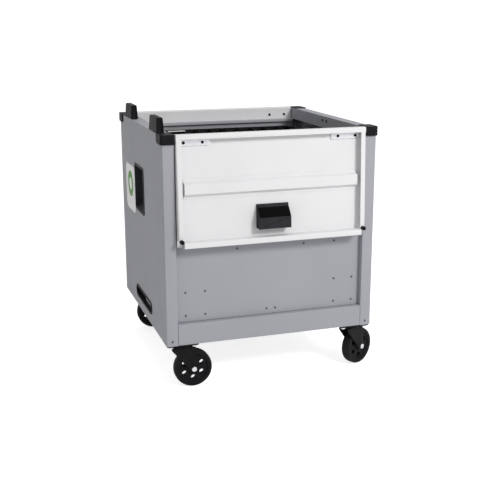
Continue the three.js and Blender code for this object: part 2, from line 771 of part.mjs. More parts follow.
// The pan: top flange, top wall and floor are one fold, the free edge is a box fold, and the sides
// turn in to flanges that end in round ears for the buffers.
function leafPan() {
  const flangeY = -LEAF_FLANGE_OFFSET;
  const fold = [
    [flangeY, LEAF_ABOVE_PIVOT - LEAF_FLANGE],
    [flangeY, LEAF_ABOVE_PIVOT],
    [floorOuter, LEAF_ABOVE_PIVOT],
    [floorOuter, -leafBelowPivot],
  ];
  const edgeY = floorInner - LEAF_EDGE_DEPTH;
  const edgeTop = -leafBelowPivot + LEAF_EDGE_HEIGHT;
  const edge = [
    [floorOuter, edgeTop],
    [floorOuter, -leafBelowPivot],
    [edgeY, -leafBelowPivot],
    [edgeY, edgeTop],
    [floorOuter - SHEET / 2, edgeTop],
  ];
  const side = [
    [leafHalfWidth - LEAF_FLANGE, flangeY],
    [leafHalfWidth, flangeY],
    [leafHalfWidth, floorOuter],
  ];
  const earX = leafHalfWidth - LEAF_FLANGE / 2;
  const sideWall = join(
    alongZ(foldedSheet(side, 1), -bufferDrop, LEAF_ABOVE_PIVOT),
    rodY(LEAF_FLANGE / 2, flangeY, flangeY + SHEET, earX, -bufferDrop, ROUND),
  );
  const pinHole = (x) => rodX(PIVOT_PIN_RADIUS + SEAT_GAP, x - 2 * SHEET, x + 2 * SHEET);
  const pullHole = block(
    [-PULL_WIDTH / 2 - CUTOUT_GAP, floorInner - SHEET, -pullTopDrop - PULL_HEIGHT - CUTOUT_GAP],
    [PULL_WIDTH / 2 + CUTOUT_GAP, floorOuter + SHEET, -pullTopDrop + CUTOUT_GAP],
  );
  return cut(
    join(
      alongX(foldedSheet(fold, -1), -leafHalfWidth, leafHalfWidth),
      alongX(foldedSheet(edge, -1), -leafEdgeHalfWidth, leafEdgeHalfWidth),
      sideWall,
      mirroredX(sideWall),
    ),
    pinHole(leafHalfWidth),
    pinHole(-leafHalfWidth),
    pullHole,
  );
}

// Hat-section rib across the middle of the leaf.
function stiffenerRib() {
  const seat = floorInner - SEAT_GAP;
  const face = seat - RIB_DEPTH;
  const skin = [
    [seat, -ribDrop - RIB_BASE / 2 - RIB_FLANGE],
    [seat, -ribDrop - RIB_BASE / 2],
    [face, -ribDrop - RIB_FACE / 2],
    [face, -ribDrop + RIB_FACE / 2],
    [seat, -ribDrop + RIB_BASE / 2],
    [seat, -ribDrop + RIB_BASE / 2 + RIB_FLANGE],
  ];
  return alongX(foldedSheet(skin, 1), -ribHalfWidth, ribHalfWidth);
}

// Finger pull: a moulded cup let in from the outer face, shallow at its bar and deep at the free edge.
function fingerPull() {
  const rim = floorOuter + SEAT_GAP;
  const mouth = rim + BEZEL_PROUD;
  const top = -pullTopDrop;
  const low = top - PULL_HEIGHT;
  const bar = floorInner - PULL_BAR_DEPTH;
  const deep = floorInner - PULL_DEPTH;
  const profile = [
    [mouth, top],
    [bar, top],
    [bar, top - PULL_BAR_HEIGHT],
    [deep, low + PULL_FACE_HEIGHT],
    [deep, low],
    [mouth, low],
  ];
  const half = PULL_WIDTH / 2;
  const cheek = alongX(polygon(profile), half - MOULDING_WALL, half);
  const bezelOutline = roundedRectangle(
    PULL_WIDTH + 2 * BEZEL_WIDTH,
    PULL_HEIGHT + 2 * BEZEL_WIDTH,
    BEZEL_WIDTH,
    0,
    (top + low) / 2,
  );
  const opening = block(
    [-half + MOULDING_WALL, rim - CUT_PAST, low + MOULDING_WALL],
    [half - MOULDING_WALL, mouth + CUT_PAST, top - MOULDING_WALL],
  );
  return join(
    alongX(foldedSheet(profile, 1, MOULDING_WALL), -half, half),
    cheek,
    mirroredX(cheek),
    cut(alongY(bezelOutline, rim, mouth), opening),
  );
}

const plateOuter = leafHalfWidth - LEAF_FLANGE + SEAT_GAP;

// Pivot plate: a bar on the leaf's floor whose turned-up end holds the pivot pin.
function pivotPlate() {
  const seat = floorInner - SEAT_GAP;
  const low = -PIVOT_PLATE_DROP - PIVOT_PLATE_HEIGHT;
  const bar = block(
    [plateOuter - PIVOT_PLATE_LENGTH, seat - PIVOT_PLATE, low],
    [plateOuter, seat, -PIVOT_PLATE_DROP],
  );
  const ear = new THREE.Shape();
  ear.moveTo(seat, low);
  ear.lineTo(seat, 0);
  ear.absarc(0, 0, PIVOT_EYE_RADIUS, 0, Math.PI);
  ear.lineTo(seat - PIVOT_PLATE, low);
  const hole = rodX(PIVOT_PIN_RADIUS + SEAT_GAP, plateOuter - 2 * PIVOT_PLATE, plateOuter + CUT_PAST);
  return cut(join(bar, alongX(ear, plateOuter - PIVOT_PLATE, plateOuter)), hole);
}

function pivotPin() {
  const headFace = plateOuter - PIVOT_PLATE - SEAT_GAP;
  return join(
    rodX(PIVOT_HEAD_RADIUS, headFace - PIVOT_HEAD, headFace),
    rodX(PIVOT_PIN_RADIUS, headFace - PIVOT_HEAD / 2, postInner + PIVOT_PIN_REACH),
  );
}

// Rubber buffer on the flange's ear, with the sunk hole of its screw.
function lidBuffer() {
  const seat = -LEAF_FLANGE_OFFSET - SEAT_GAP;
  const foot = seat - BUFFER_HEIGHT;
  const x = leafHalfWidth - LEAF_FLANGE / 2;
  return cut(
    rodY(BUFFER_RADIUS, foot, seat, x, -bufferDrop, ROUND),
    rodY(BUFFER_HOLE, foot - CUT_PAST, foot + BUFFER_HOLE_DEPTH, x, -bufferDrop),
  );
}

// Castors, each in a frame with the king pin along Z at its origin and the floor at z = 0.

const plateTop = CASTOR_HEIGHT - SEAT_GAP;
const crownTop = plateTop - PLATE - RACE_HEIGHT - SEAT_GAP;

function castorPlate() {
  const holes = [];
  for (const x of [-PLATE_HOLES_X / 2, PLATE_HOLES_X / 2]) {
    for (const y of [-PLATE_HOLES_Y / 2, PLATE_HOLES_Y / 2]) {
      holes.push(rodZ(PLATE_HOLE_RADIUS, plateTop - 2 * PLATE, plateTop + CUT_PAST, x, y, HOLE_ROUND));
    }
  }
  const outline = roundedRectangle(PLATE_LENGTH, PLATE_WIDTH, PLATE_RADIUS);
  const headTop = crownTop - FORK_SHEET - SEAT_GAP;
  return join(
    cut(alongZ(outline, plateTop - PLATE, plateTop), ...holes),
    rodZ(RACE_RADIUS, plateTop - PLATE - RACE_HEIGHT, plateTop - PLATE / 2),
    rodZ(KING_PIN_RADIUS, headTop - KING_HEAD / 2, plateTop - PLATE, 0, 0, SMALL_ROUND),
    rodZ(KING_HEAD_RADIUS, headTop - KING_HEAD, headTop, 0, 0, HEXAGON),
  );
}

const legInner = WHEEL_WIDTH / 2 + 2 * HUB_SIDE_GAP;
const legOuter = legInner + FORK_SHEET;

// Fork: one pressed sheet, folded over the wheel and trimmed to the crown and the swept-back legs.
function castorFork() {
  const fold = [
    [-legOuter, 0],
    [-legOuter, crownTop],
    [legOuter, crownTop],
    [legOuter, 0],
  ];
  const reach = CASTOR_TRAIL + WHEEL_RADIUS;
  const sheet = alongX(foldedSheet(fold, -1, FORK_SHEET), -reach, reach);
  const axleZ = WHEEL_RADIUS;
  const outline = new THREE.Shape();
  const overCrown = crownTop + CUT_PAST;
  const eyeBack = CASTOR_TRAIL + FORK_EYE_RADIUS;
  outline.moveTo(-FORK_CROWN_RADIUS, overCrown);
  outline.lineTo(-FORK_CROWN_RADIUS, crownTop - FORK_BROW);
  outline.lineTo(CASTOR_TRAIL - FORK_EYE_RADIUS, axleZ);
  outline.absarc(CASTOR_TRAIL, axleZ, FORK_EYE_RADIUS, Math.PI, 2 * Math.PI);
  outline.quadraticCurveTo(eyeBack, crownTop - FORK_SWEEP, CASTOR_TRAIL + FORK_BACK_REACH, overCrown);
  return cut(
    common(sheet, alongY(outline, -WHEEL_WIDTH, WHEEL_WIDTH)),
    rodZ(KING_PIN_RADIUS + RUN_GAP, crownTop - 2 * FORK_SHEET, overCrown, 0, 0, SMALL_ROUND),
    rodY(AXLE_RADIUS + SEAT_GAP, -WHEEL_WIDTH, WHEEL_WIDTH, CASTOR_TRAIL, axleZ),
  );
}

// Axle bolt with its head at the front and its nut at the back; both bear on the fork.
function castorAxle() {
  const face = legOuter + SEAT_GAP;
  return join(
    rodY(AXLE_RADIUS, -face - AXLE_HEAD / 2, face + AXLE_HEAD / 2),
    rodY(AXLE_HEAD_RADIUS, -face - AXLE_HEAD, -face, 0, 0, HEXAGON),
    rodY(AXLE_HEAD_RADIUS, face, face + AXLE_HEAD, 0, 0, HEXAGON),
  ).translate(CASTOR_TRAIL, 0, WHEEL_RADIUS);
}

// A ring turned about the axle from its section in radius and width, with a flat facet lowest.
function turned(section) {
  const closed = [...section, section[0]].map(([radius, y]) => new THREE.Vector2(radius, y));
  const ring = new THREE.LatheGeometry(closed, ROUND).rotateY(Math.PI / ROUND);
  return ring.translate(CASTOR_TRAIL, 0, WHEEL_RADIUS);
}

// Wheel core: hub, web with its round holes, and the rim that the tyre sits on.
function wheelCore() {
  const hub = WHEEL_WIDTH / 2 + HUB_SIDE_GAP;
  const web = WHEEL_WEB / 2;
  const rim = WHEEL_WIDTH / 2 - HUB_SIDE_GAP;
  const outer = WHEEL_RADIUS - TYRE_THICKNESS - SEAT_GAP;
  const half = [
    [AXLE_RADIUS + RUN_GAP, hub],
    [HUB_RADIUS, hub],
    [HUB_RADIUS + HUB_FILLET, web],
    [outer - WHEEL_RIM, web],
    [outer - WHEEL_RIM + RIM_FLARE, rim],
    [outer, rim],
  ];
  const core = turned([...half, ...half.map(([radius, y]) => [radius, -y]).reverse()]);
  const holes = [];
  for (let i = 0; i < WHEEL_HOLES; i++) {
    const angle = (i * 2 * Math.PI) / WHEEL_HOLES;
    const x = CASTOR_TRAIL + WHEEL_HOLE_PITCH_RADIUS * Math.cos(angle);
    const z = WHEEL_RADIUS + WHEEL_HOLE_PITCH_RADIUS * Math.sin(angle);
    holes.push(rodY(WHEEL_HOLE_RADIUS, -WHEEL_WIDTH, WHEEL_WIDTH, x, z, SMALL_ROUND));
  }
  return cut(core, ...holes);
}

function wheelTyre() {
  const inner = WHEEL_RADIUS - TYRE_THICKNESS;
  const half = WHEEL_WIDTH / 2;
  return turned([
    [inner, -half],
    [WHEEL_RADIUS - TYRE_SHOULDER, -half],
    [WHEEL_RADIUS - TYRE_CROWN, -half + TYRE_SHOULDER],
    [WHEEL_RADIUS, 0],
    [WHEEL_RADIUS - TYRE_CROWN, half - TYRE_SHOULDER],
    [WHEEL_RADIUS - TYRE_SHOULDER, half],
    [inner, half],
  ]);
}

// Put the cart together

addPiece(body, "base_tray", "greyPaint", baseTray());
addPiece(body, "front_panel", "greyPaint", wallPanel());
addPiece(body, "back_panel", "greyPaint", cut(wallPanel(), ...ventSlots()).rotateZ(Math.PI));
addPiece(body, "right_side_panel", "greyPaint", sidePanel());
const inletHole = alongX(inletOutline(CUTOUT_GAP), -halfWidth - SHEET, -halfWidth + 2 * SHEET);
addPiece(body, "left_side_panel", "greyPaint", cut(mirroredX(sidePanel()), inletHole));

const cap = cornerCap();
addPiece(body, "corner_cap_front_right", "blackPlastic", cap);
addPiece(body, "corner_cap_front_left", "blackPlastic", mirroredX(cap));
addPiece(body, "corner_cap_rear_left", "blackPlastic", cap.clone().rotateZ(Math.PI));
addPiece(body, "corner_cap_rear_right", "blackPlastic", mirroredX(cap).rotateZ(Math.PI));

const capEnd = halfDepth + CAP_PROUD - CAP_SIDE_LENGTH - SEAT_GAP;
addPiece(body, "cord_horn_front", "blackPlastic", cordHorn(hornFrontY, -capEnd));
addPiece(body, "cord_horn_rear", "blackPlastic", cordHorn(hornRearY, capEnd));

addPiece(body, "carrying_handle_right", "blackPlastic", carryingHandle());
addPiece(body, "carrying_handle_left", "blackPlastic", mirroredX(carryingHandle()));
addPiece(body, "power_inlet_tray", "blackPlastic", inletTray());
addPiece(body, "power_inlet_socket", "blackPlastic", inletSocket());
addPiece(body, "lid_rest_right", "blackSteel", lidRest());
addPiece(body, "lid_rest_left", "blackSteel", mirroredX(lidRest()));

addPiece(body, "equipment_shelf", "blackSteel", equipmentShelf());
addPiece(body, "device_rack_rear", "blackPlastic", deviceRack());
addPiece(body, "device_rack_front", "blackPlastic", deviceRack().rotateZ(Math.PI));
addPiece(body, "power_strip", "blackPlastic", powerStrip());

const LEAVES = [
  { name: "front", turn: 0 },
  { name: "rear", turn: Math.PI },
];
for (const { name, turn } of LEAVES) {
  const side = new THREE.Group();
  side.rotation.z = turn;
  const leaf = new THREE.Group();
  leaf.position.set(0, -pivotY, pivotZ);
  leaf.rotation.x = -THREE.MathUtils.degToRad(LEAF_LEAN_DEG);
  side.add(leaf);
  body.add(side);
  addPiece(leaf, `${name}_lid_pan`, "whitePaint", leafPan());
  addPiece(leaf, `${name}_lid_rib`, "whitePaint", stiffenerRib());
  addPiece(leaf, `${name}_lid_pull`, "blackPlastic", fingerPull());
  for (const [hand, flip] of [["a", false], ["b", true]]) {
    const placed = (geometry) => (flip ? mirroredX(geometry) : geometry);
    addPiece(leaf, `${name}_lid_pivot_plate_${hand}`, "zinc", placed(pivotPlate()));
    addPiece(leaf, `${name}_lid_pivot_pin_${hand}`, "zinc", placed(pivotPin()));
    addPiece(leaf, `${name}_lid_buffer_${hand}`, "rubber", placed(lidBuffer()));
  }
}

const CASTORS = [
  { name: "front_left", x: -castorX, y: -castorY, turnDeg: 0 },
  { name: "rear_left", x: -castorX, y: castorY, turnDeg: 0 },
  { name: "front_right", x: castorX, y: -castorY, turnDeg: CASTOR_TURN_FRONT_RIGHT_DEG },
  { name: "rear_right", x: castorX, y: castorY, turnDeg: CASTOR_TURN_REAR_RIGHT_DEG },
];
for (const { name, x, y, turnDeg } of CASTORS) {
  const castor = new THREE.Group();
  castor.position.set(x, y, 0);
  const swivel = new THREE.Group();
  swivel.rotation.z = THREE.MathUtils.degToRad(turnDeg);
  castor.add(swivel);
  cart.add(castor);
  addPiece(castor, `castor_plate_${name}`, "blackSteel", castorPlate());
  addPiece(swivel, `castor_fork_${name}`, "blackSteel", castorFork());
  addPiece(swivel, `castor_axle_${name}`, "zinc", castorAxle());
  addPiece(swivel, `castor_wheel_${name}`, "blackPlastic", wheelCore());
  addPiece(swivel, `castor_tyre_${name}`, "rubber", wheelTyre());
}

// The origin is on the floor, under the middle of the cart's whole outline.
const outline = new THREE.Box3().setFromObject(cart);
const middle = outline.getCenter(new THREE.Vector3());
cart.position.set(-middle.x, -middle.y, -outline.min.z);

const laptopCart = new THREE.Group();
laptopCart.add(cart);

export default laptopCart;
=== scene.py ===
"""Finish of a laptop charging cart: paint, mouldings, fasteners, castors, labels and a plain studio."""
import json
import math

import bpy
from mathutils import Matrix, Vector


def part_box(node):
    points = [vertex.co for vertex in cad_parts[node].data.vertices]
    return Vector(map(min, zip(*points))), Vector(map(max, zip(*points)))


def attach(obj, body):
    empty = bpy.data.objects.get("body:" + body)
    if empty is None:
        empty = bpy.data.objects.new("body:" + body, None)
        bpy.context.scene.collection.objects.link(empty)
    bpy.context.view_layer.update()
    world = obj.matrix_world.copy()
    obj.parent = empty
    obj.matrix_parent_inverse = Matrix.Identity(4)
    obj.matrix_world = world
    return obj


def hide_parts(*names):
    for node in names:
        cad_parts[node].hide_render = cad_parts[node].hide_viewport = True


bl_info = {
    "name": "Laptop charging cart",
    "version": (1, 0, 0),
    "blender": (4, 5, 0),
    "location": "View3D > Sidebar > Cart",
    "description": "Finishes the solids of a laptop charging cart",
    "category": "Object",
}

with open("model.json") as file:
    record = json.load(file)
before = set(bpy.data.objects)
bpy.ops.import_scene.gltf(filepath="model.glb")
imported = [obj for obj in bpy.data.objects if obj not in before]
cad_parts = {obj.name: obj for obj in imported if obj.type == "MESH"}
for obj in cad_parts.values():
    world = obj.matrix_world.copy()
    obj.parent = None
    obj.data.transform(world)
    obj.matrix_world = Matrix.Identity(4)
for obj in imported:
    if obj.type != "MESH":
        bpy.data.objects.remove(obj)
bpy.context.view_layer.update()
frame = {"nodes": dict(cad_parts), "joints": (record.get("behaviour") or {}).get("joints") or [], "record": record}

MM = 0.001
BODIES = frame["record"]["behaviour"]["bodies"]
SLOT_OF = {entry["node"]: entry["material_slot"] for entry in frame["record"]["subparts"]}
BODY_OF = {node: body for body, members in BODIES.items() for node in members}
JOINTS = {joint["name"]: joint for joint in frame["joints"]}
CASTORS = ("front_left", "rear_left", "front_right", "rear_right")

# Distances within which vertices are merged, in pieces made here and in copies of the solids
WELD = 0.005 * MM
NODE_WELD = 0.002 * MM

# The cabinet's own frame: the middle of its base, on the underside of the base tray
tray_low, tray_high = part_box("base_tray")
CABINET = Matrix.Translation(((tray_low.x + tray_high.x) / 2, 0, tray_low.z))

# Lid leaves
LEAF_LEAN = math.radians(2.3)
PIVOT_Y = 334 * MM
PIVOT_Z = 652 * MM
LEAF_FLOOR_OUTER = 9 * MM
PIVOT_PLATE_FACE = 4.2 * MM

# Finger pulls: the sunk well of the slope, and the border and step of the front face
PULL_SLOPE_RIM = 3.5 * MM
PULL_WELL_DEPTH = 1.4 * MM
PULL_FRONT_DEPTH = 6 * MM
PULL_BORDER = 2.5 * MM
PULL_STEP_WIDTH = 1 * MM
PULL_STEP_DEPTH = 0.6 * MM

# Castors
CASTOR_PLATE = 4 * MM
BOLT_SPACING_X = 76 * MM
BOLT_SPACING_Y = 56 * MM
BOLT_END = 3.5 * MM
FORK_FACE = 20.9 * MM
AXLE_RADIUS = 5 * MM
AXLE_BITE = 0.5 * MM
AXLE_END = 4.6 * MM
AXLE_HEAD_RADIUS = 9 * MM
AXLE_HEAD_HEIGHT = 7 * MM

# Wheels: one half of each section, as radius and distance from the middle, in millimetres
WHEEL_SIDES = 72
CORE_SECTION = (
    (5.4, 16.8), (14, 16.8), (15, 16.2), (15.6, 14), (17.5, 10.6), (20, 10), (43.5, 10),
    (45.6, 10.8), (46.6, 13), (47.6, 14.8), (48.4, 15.2), (54.2, 15.2),
)
TYRE_SECTION = ((54.5, 16), (58.4, 15.9), (60, 15.3), (60.9, 13.9), (61.7, 12), (62.4, 9), (62.65, 4))
CORE_EDGE = 0.8 * MM
TYRE_EDGE = 0.4 * MM
CORE_HOLES = 6
CORE_HOLE_RADIUS = 8.5 * MM
CORE_HOLE_CIRCLE = 33 * MM
CORE_HOLE_DEPTH = 60 * MM
HOLE_SIDES = 32

# Round bars and screw heads, and the turn that lays a cylinder along Y
ROUND_SIDES = 24
ALONG_Y = (math.pi / 2, 0, 0)

# Hexagon heads: shares of the head's height and radius, and of the shank
HEX_CHAMFER = 0.16
HEX_END_RIM = 0.1
HEX_EDGE = 0.05

# Screw heads: shares of the head's height and radius
SCREW_DOME = 0.6
CROSS_ARM = 0.55
CROSS_SLOT = 0.35

# Edge of a thin plate, as a share of its thickness
PLATE_EDGE = 0.3

# Black board on the wall side of a rack, as painted shade that darkens the cabinet's inside
BOARD_THICKNESS = 3 * MM
BOARD_CORNER = 12 * MM
BOARD_SEAT = 0.2 * MM

# Grey ledge in the front part of the inlet's tray
INLET_RIM = 6 * MM
INLET_LEDGE_DEPTH = 15 * MM
INLET_LEDGE_LENGTH = 155 * MM
INLET_LEDGE_THICKNESS = 1.5 * MM
LEDGE_ROUNDING = 0.49

# Cord horns
HORN_LENGTH = 112 * MM
HORN_WIDTH = 25 * MM
HORN_TAPER = (0.8, 0.91, 1)
HORN_EDGE = 3.5 * MM
HORN_END_BORDER = 1.5 * MM
HORN_HOLLOW_SLOPE = 2 * MM
HORN_HOLLOW_DEPTH = 3 * MM
HORN_STRIP = 4 * MM
HORN_STRIP_EDGE = 0.8 * MM

# Edges of the black steelwork and of axle shanks
STEEL_EDGE = 0.5 * MM
SHANK_EDGE = 0.4 * MM

# Side label and its ring, and the card on the rack
LABEL_Y = 181 * MM
LABEL_Z = 418 * MM
LABEL_FILM = 0.4 * MM
LABEL_CORNER = 26 * MM
LABEL_STAND = 0.05 * MM
RING_RISE = 14 * MM
RING_INNER = 22 * MM
RING_OUTER = 46 * MM
RING_SPAN = 100 * MM
CARD_X = -159.6 * MM
CARD_Y = 265 * MM
CARD_LENGTH = 64 * MM
CARD_WIDTH = 20 * MM
CARD_THICKNESS = 1 * MM
CARD_CORNER = 1.5 * MM
CARD_STAND = 0.1 * MM

# Where the photograph shows screws, in the cabinet's frame, in millimetres: x and z on the front panel and on
# the posts, y and z on the inner face of the right rail, x and the drop below the pivot on a lid leaf
PANEL_SCREWS = (
    (-282, 167), (-218, 167), (-282, 91), (-218, 91),
    (222, 168), (286, 168), (222, 90), (286, 90),
    (-12, 88), (17, 88), (-111, 297), (114, 297), (220, 297),
)
POST_SCREWS = ((331, 15), (-331, 15))
RAIL_SCREWS = ((14, 649), (-21, 649))
RAIL_FACE = 312
PLATE_SCREW_X = (222, 281)
PLATE_SCREW_DROP = 12

# Shares of a colour for painted light and painted shade: the panel screw heads get the cabinet grey painted darker
# as shade, the finger pull's front gets the moulding black painted lighter as if lit, and its sunk well gets the
# black painted darker as shade
SCREW_PAINTED_SHADE = 0.3
PULL_FRONT_PAINTED_LIGHT = 2.6
PULL_WELL_PAINTED_SHADE = 0.25

# White of the label's film and of the rack's card
FILM_WHITE = (0.95, 0.95, 0.94)
CARD_WHITE = (0.78, 0.78, 0.76)

# Studio: each softbox has its name, place, target, size and power
FLOOR_SIZE = 40
FLOOR_WHITE = 0.9
FLOOR_GLOW = 0.74
AMBIENT = 0.45
SOFTBOXES = (
    ("key_softbox", (1.3, -3.0, 2.4), (0, 0, 0.45), 0.9, 71),
    ("top_softbox", (0.2, 0.2, 3.2), (0, 0, 0.5), 2.6, 9),
)
CAMERA_LENS = 64.6
CAMERA_SENSOR = 36
CAMERA_PLACE = Vector((-0.94386, -2.9412, 1.16712))
CAMERA_TARGET = Vector((0.01587, 0, 0.35372))
CAMERA_ROLL = math.radians(-0.08)


class CartFinishes(bpy.types.PropertyGroup):
    """Colours of the cart's finishes."""

    grey_paint: bpy.props.FloatVectorProperty(
        name="Cabinet grey", description="Powder coat of the cabinet", subtype="COLOR",
        size=3, min=0, max=1, default=(0.37, 0.375, 0.405))
    white_paint: bpy.props.FloatVectorProperty(
        name="Lid white", description="Powder coat of the lid leaves", subtype="COLOR",
        size=3, min=0, max=1, default=(0.78, 0.775, 0.785))
    black_plastic: bpy.props.FloatVectorProperty(
        name="Moulding black", description="Caps, horns, handles and wheel cores", subtype="COLOR",
        size=3, min=0, max=1, default=(0.011, 0.011, 0.0125))
    handle_plastic: bpy.props.FloatVectorProperty(
        name="Handle charcoal", description="Recessed carrying handles", subtype="COLOR",
        size=3, min=0, max=1, default=(0.030, 0.030, 0.036))
    black_steel: bpy.props.FloatVectorProperty(
        name="Steel black", description="Castor plates, forks and inner steelwork", subtype="COLOR",
        size=3, min=0, max=1, default=(0.010, 0.010, 0.011))
    zinc: bpy.props.FloatVectorProperty(
        name="Zinc plate", description="Pivot plates, screws and nuts", subtype="COLOR",
        size=3, min=0, max=1, default=(0.56, 0.57, 0.59))
    rubber: bpy.props.FloatVectorProperty(
        name="Rubber", description="Tyres and lid buffers", subtype="COLOR",
        size=3, min=0, max=1, default=(0.010, 0.010, 0.0105))
    label_green: bpy.props.FloatVectorProperty(
        name="Label green", description="Print on the side label", subtype="COLOR",
        size=3, min=0, max=1, default=(0.085, 0.27, 0.02))


class CartDetails(bpy.types.PropertyGroup):
    """Sizes of the details that the finish adds."""

    sheet_edge: bpy.props.FloatProperty(
        name="Sheet edge", description="Rounding along the edges of painted sheet",
        unit="LENGTH", min=0, default=0.35 * MM)
    moulding_edge: bpy.props.FloatProperty(
        name="Moulding edge", description="Rounding along the edges of mouldings",
        unit="LENGTH", min=0, default=0.7 * MM)
    screw_radius: bpy.props.FloatProperty(
        name="Screw head radius", description="Radius of a panel screw's head",
        unit="LENGTH", min=0, default=3.4 * MM)
    screw_height: bpy.props.FloatProperty(
        name="Screw head height", description="Height of a panel screw's head",
        unit="LENGTH", min=0, default=1.7 * MM)
    pivot_screw_radius: bpy.props.FloatProperty(
        name="Pivot screw radius", description="Radius of the head of a lid pivot's screw",
        unit="LENGTH", min=0, default=4.8 * MM)
    bolt_radius: bpy.props.FloatProperty(
        name="Bolt head radius", description="Radius across the corners of a castor bolt's head",
        unit="LENGTH", min=0, default=7.5 * MM)
    bolt_height: bpy.props.FloatProperty(
        name="Bolt head height", description="Height of a castor bolt's head",
        unit="LENGTH", min=0, default=6.8 * MM)
    label_width: bpy.props.FloatProperty(
        name="Label width", description="Width of the label on the left side",
        unit="LENGTH", min=0, default=162 * MM)
    label_height: bpy.props.FloatProperty(
        name="Label height", description="Height of the label on the left side",
        unit="LENGTH", min=0, default=163 * MM)


# Materials

def new_material(name, roughness, specular=0.5, metallic=0.0):
    """A material with its node tree and its shader."""
    material = bpy.data.materials.new(name)
    material.use_nodes = True
    tree = material.node_tree
    shader = tree.nodes["Principled BSDF"]
    shader.inputs["Roughness"].default_value = roughness
    shader.inputs["Specular IOR Level"].default_value = specular
    shader.inputs["Metallic"].default_value = metallic
    return material, tree, shader


def own_place(tree):
    """The coordinates of the piece's own object."""
    return tree.nodes.new("ShaderNodeTexCoord").outputs["Object"]


def noise(tree, place, scale, detail=3.0):
    """A noise value between 0 and 1."""
    node = tree.nodes.new("ShaderNodeTexNoise")
    node.inputs["Scale"].default_value = scale
    node.inputs["Detail"].default_value = detail
    tree.links.new(place, node.inputs["Vector"])
    return node.outputs["Fac"]


def graded(tree, value, low, high):
    """The noise value spread between two numbers."""
    node = tree.nodes.new("ShaderNodeMapRange")
    node.inputs["From Min"].default_value = 0.3
    node.inputs["From Max"].default_value = 0.7
    node.inputs["To Min"].default_value = low
    node.inputs["To Max"].default_value = high
    tree.links.new(value, node.inputs["Value"])
    return node.outputs["Result"]


def tinted(tree, value, colour, spread):
    """The colour, made lighter and darker by the spread where the noise is high and low."""
    ramp = tree.nodes.new("ShaderNodeValToRGB")
    darker, lighter = ramp.color_ramp.elements
    darker.position = 0.3
    lighter.position = 0.7
    darker.color = [channel * (1 - spread) for channel in colour] + [1]
    lighter.color = [min(1, channel * (1 + spread)) for channel in colour] + [1]
    tree.links.new(value, ramp.inputs["Fac"])
    return ramp.outputs["Color"]


def bumped(tree, shader, value, strength, depth):
    """Let the value raise the surface by up to the depth."""
    bump = tree.nodes.new("ShaderNodeBump")
    bump.inputs["Strength"].default_value = strength
    bump.inputs["Distance"].default_value = depth
    tree.links.new(value, bump.inputs["Height"])
    tree.links.new(bump.outputs["Normal"], shader.inputs["Normal"])


def powder_coat(name, colour):
    """Baked powder paint: a fine orange peel, a faint cloudiness and a slightly uneven gloss."""
    material, tree, shader = new_material(name, roughness=0.6, specular=0.15)
    place = own_place(tree)
    cloud = noise(tree, place, scale=5)
    tree.links.new(tinted(tree, cloud, colour, spread=0.025), shader.inputs["Base Color"])
    gloss = noise(tree, place, scale=40)
    tree.links.new(graded(tree, gloss, low=0.54, high=0.66), shader.inputs["Roughness"])
    bumped(tree, shader, noise(tree, place, scale=900, detail=2), strength=0.12, depth=0.15 * MM)
    return material


def moulded_plastic(name, colour, specular=0.06):
    """Black moulding with the fine spark-eroded grain of its tool."""
    material, tree, shader = new_material(name, roughness=0.5, specular=specular)
    place = own_place(tree)
    cloud = noise(tree, place, scale=60)
    tree.links.new(tinted(tree, cloud, colour, spread=0.18), shader.inputs["Base Color"])
    gloss = noise(tree, place, scale=25)
    tree.links.new(graded(tree, gloss, low=0.48, high=0.64), shader.inputs["Roughness"])
    bumped(tree, shader, noise(tree, place, scale=1600, detail=2), strength=0.25, depth=0.12 * MM)
    return material


def black_paint(name, colour):
    """Satin black over pressed steel."""
    material, tree, shader = new_material(name, roughness=0.4, specular=0.06)
    place = own_place(tree)
    cloud = noise(tree, place, scale=30)
    tree.links.new(tinted(tree, cloud, colour, spread=0.15), shader.inputs["Base Color"])
    gloss = noise(tree, place, scale=70)
    tree.links.new(graded(tree, gloss, low=0.4, high=0.55), shader.inputs["Roughness"])
    bumped(tree, shader, noise(tree, place, scale=700, detail=2), strength=0.1, depth=0.1 * MM)
    return material


def zinc_plate(name, colour):
    """Bright zinc with cloudy patches and fine rolling marks."""
    material, tree, shader = new_material(name, roughness=0.35, metallic=1.0)
    place = own_place(tree)
    stretch = tree.nodes.new("ShaderNodeMapping")
    stretch.inputs["Scale"].default_value = (30, 900, 900)
    tree.links.new(place, stretch.inputs["Vector"])
    cloud = noise(tree, place, scale=120)
    tree.links.new(tinted(tree, cloud, colour, spread=0.1), shader.inputs["Base Color"])
    gloss = noise(tree, place, scale=90)
    tree.links.new(graded(tree, gloss, low=0.28, high=0.45), shader.inputs["Roughness"])
    marks = noise(tree, stretch.outputs["Vector"], scale=1, detail=2)
    bumped(tree, shader, marks, strength=0.15, depth=0.03 * MM)
    return material


def worn_rubber(name, colour):
    """Matt rubber, greyer where it is scuffed."""
    material, tree, shader = new_material(name, roughness=0.75, specular=0.15)
    place = own_place(tree)
    scuffs = noise(tree, place, scale=45, detail=6)
    tree.links.new(tinted(tree, scuffs, colour, spread=0.35), shader.inputs["Base Color"])
    gloss = noise(tree, place, scale=30)
    tree.links.new(graded(tree, gloss, low=0.65, high=0.85), shader.inputs["Roughness"])
    bumped(tree, shader, noise(tree, place, scale=500, detail=4), strength=0.3, depth=0.15 * MM)
    return material


def vector_step(tree, operation, vector, other=None):
    """One step of vector arithmetic."""
    node = tree.nodes.new("ShaderNodeVectorMath")
    node.operation = operation
    tree.links.new(vector, node.inputs[0])
    if other is not None:
        node.inputs[1].default_value = other
    return node


def multiplied(tree, value, factor):
    """The value times a number."""
    node = tree.nodes.new("ShaderNodeMath")
    node.operation = "MULTIPLY"
    node.inputs[1].default_value = factor
    tree.links.new(value, node.inputs[0])
    return node.outputs["Value"]


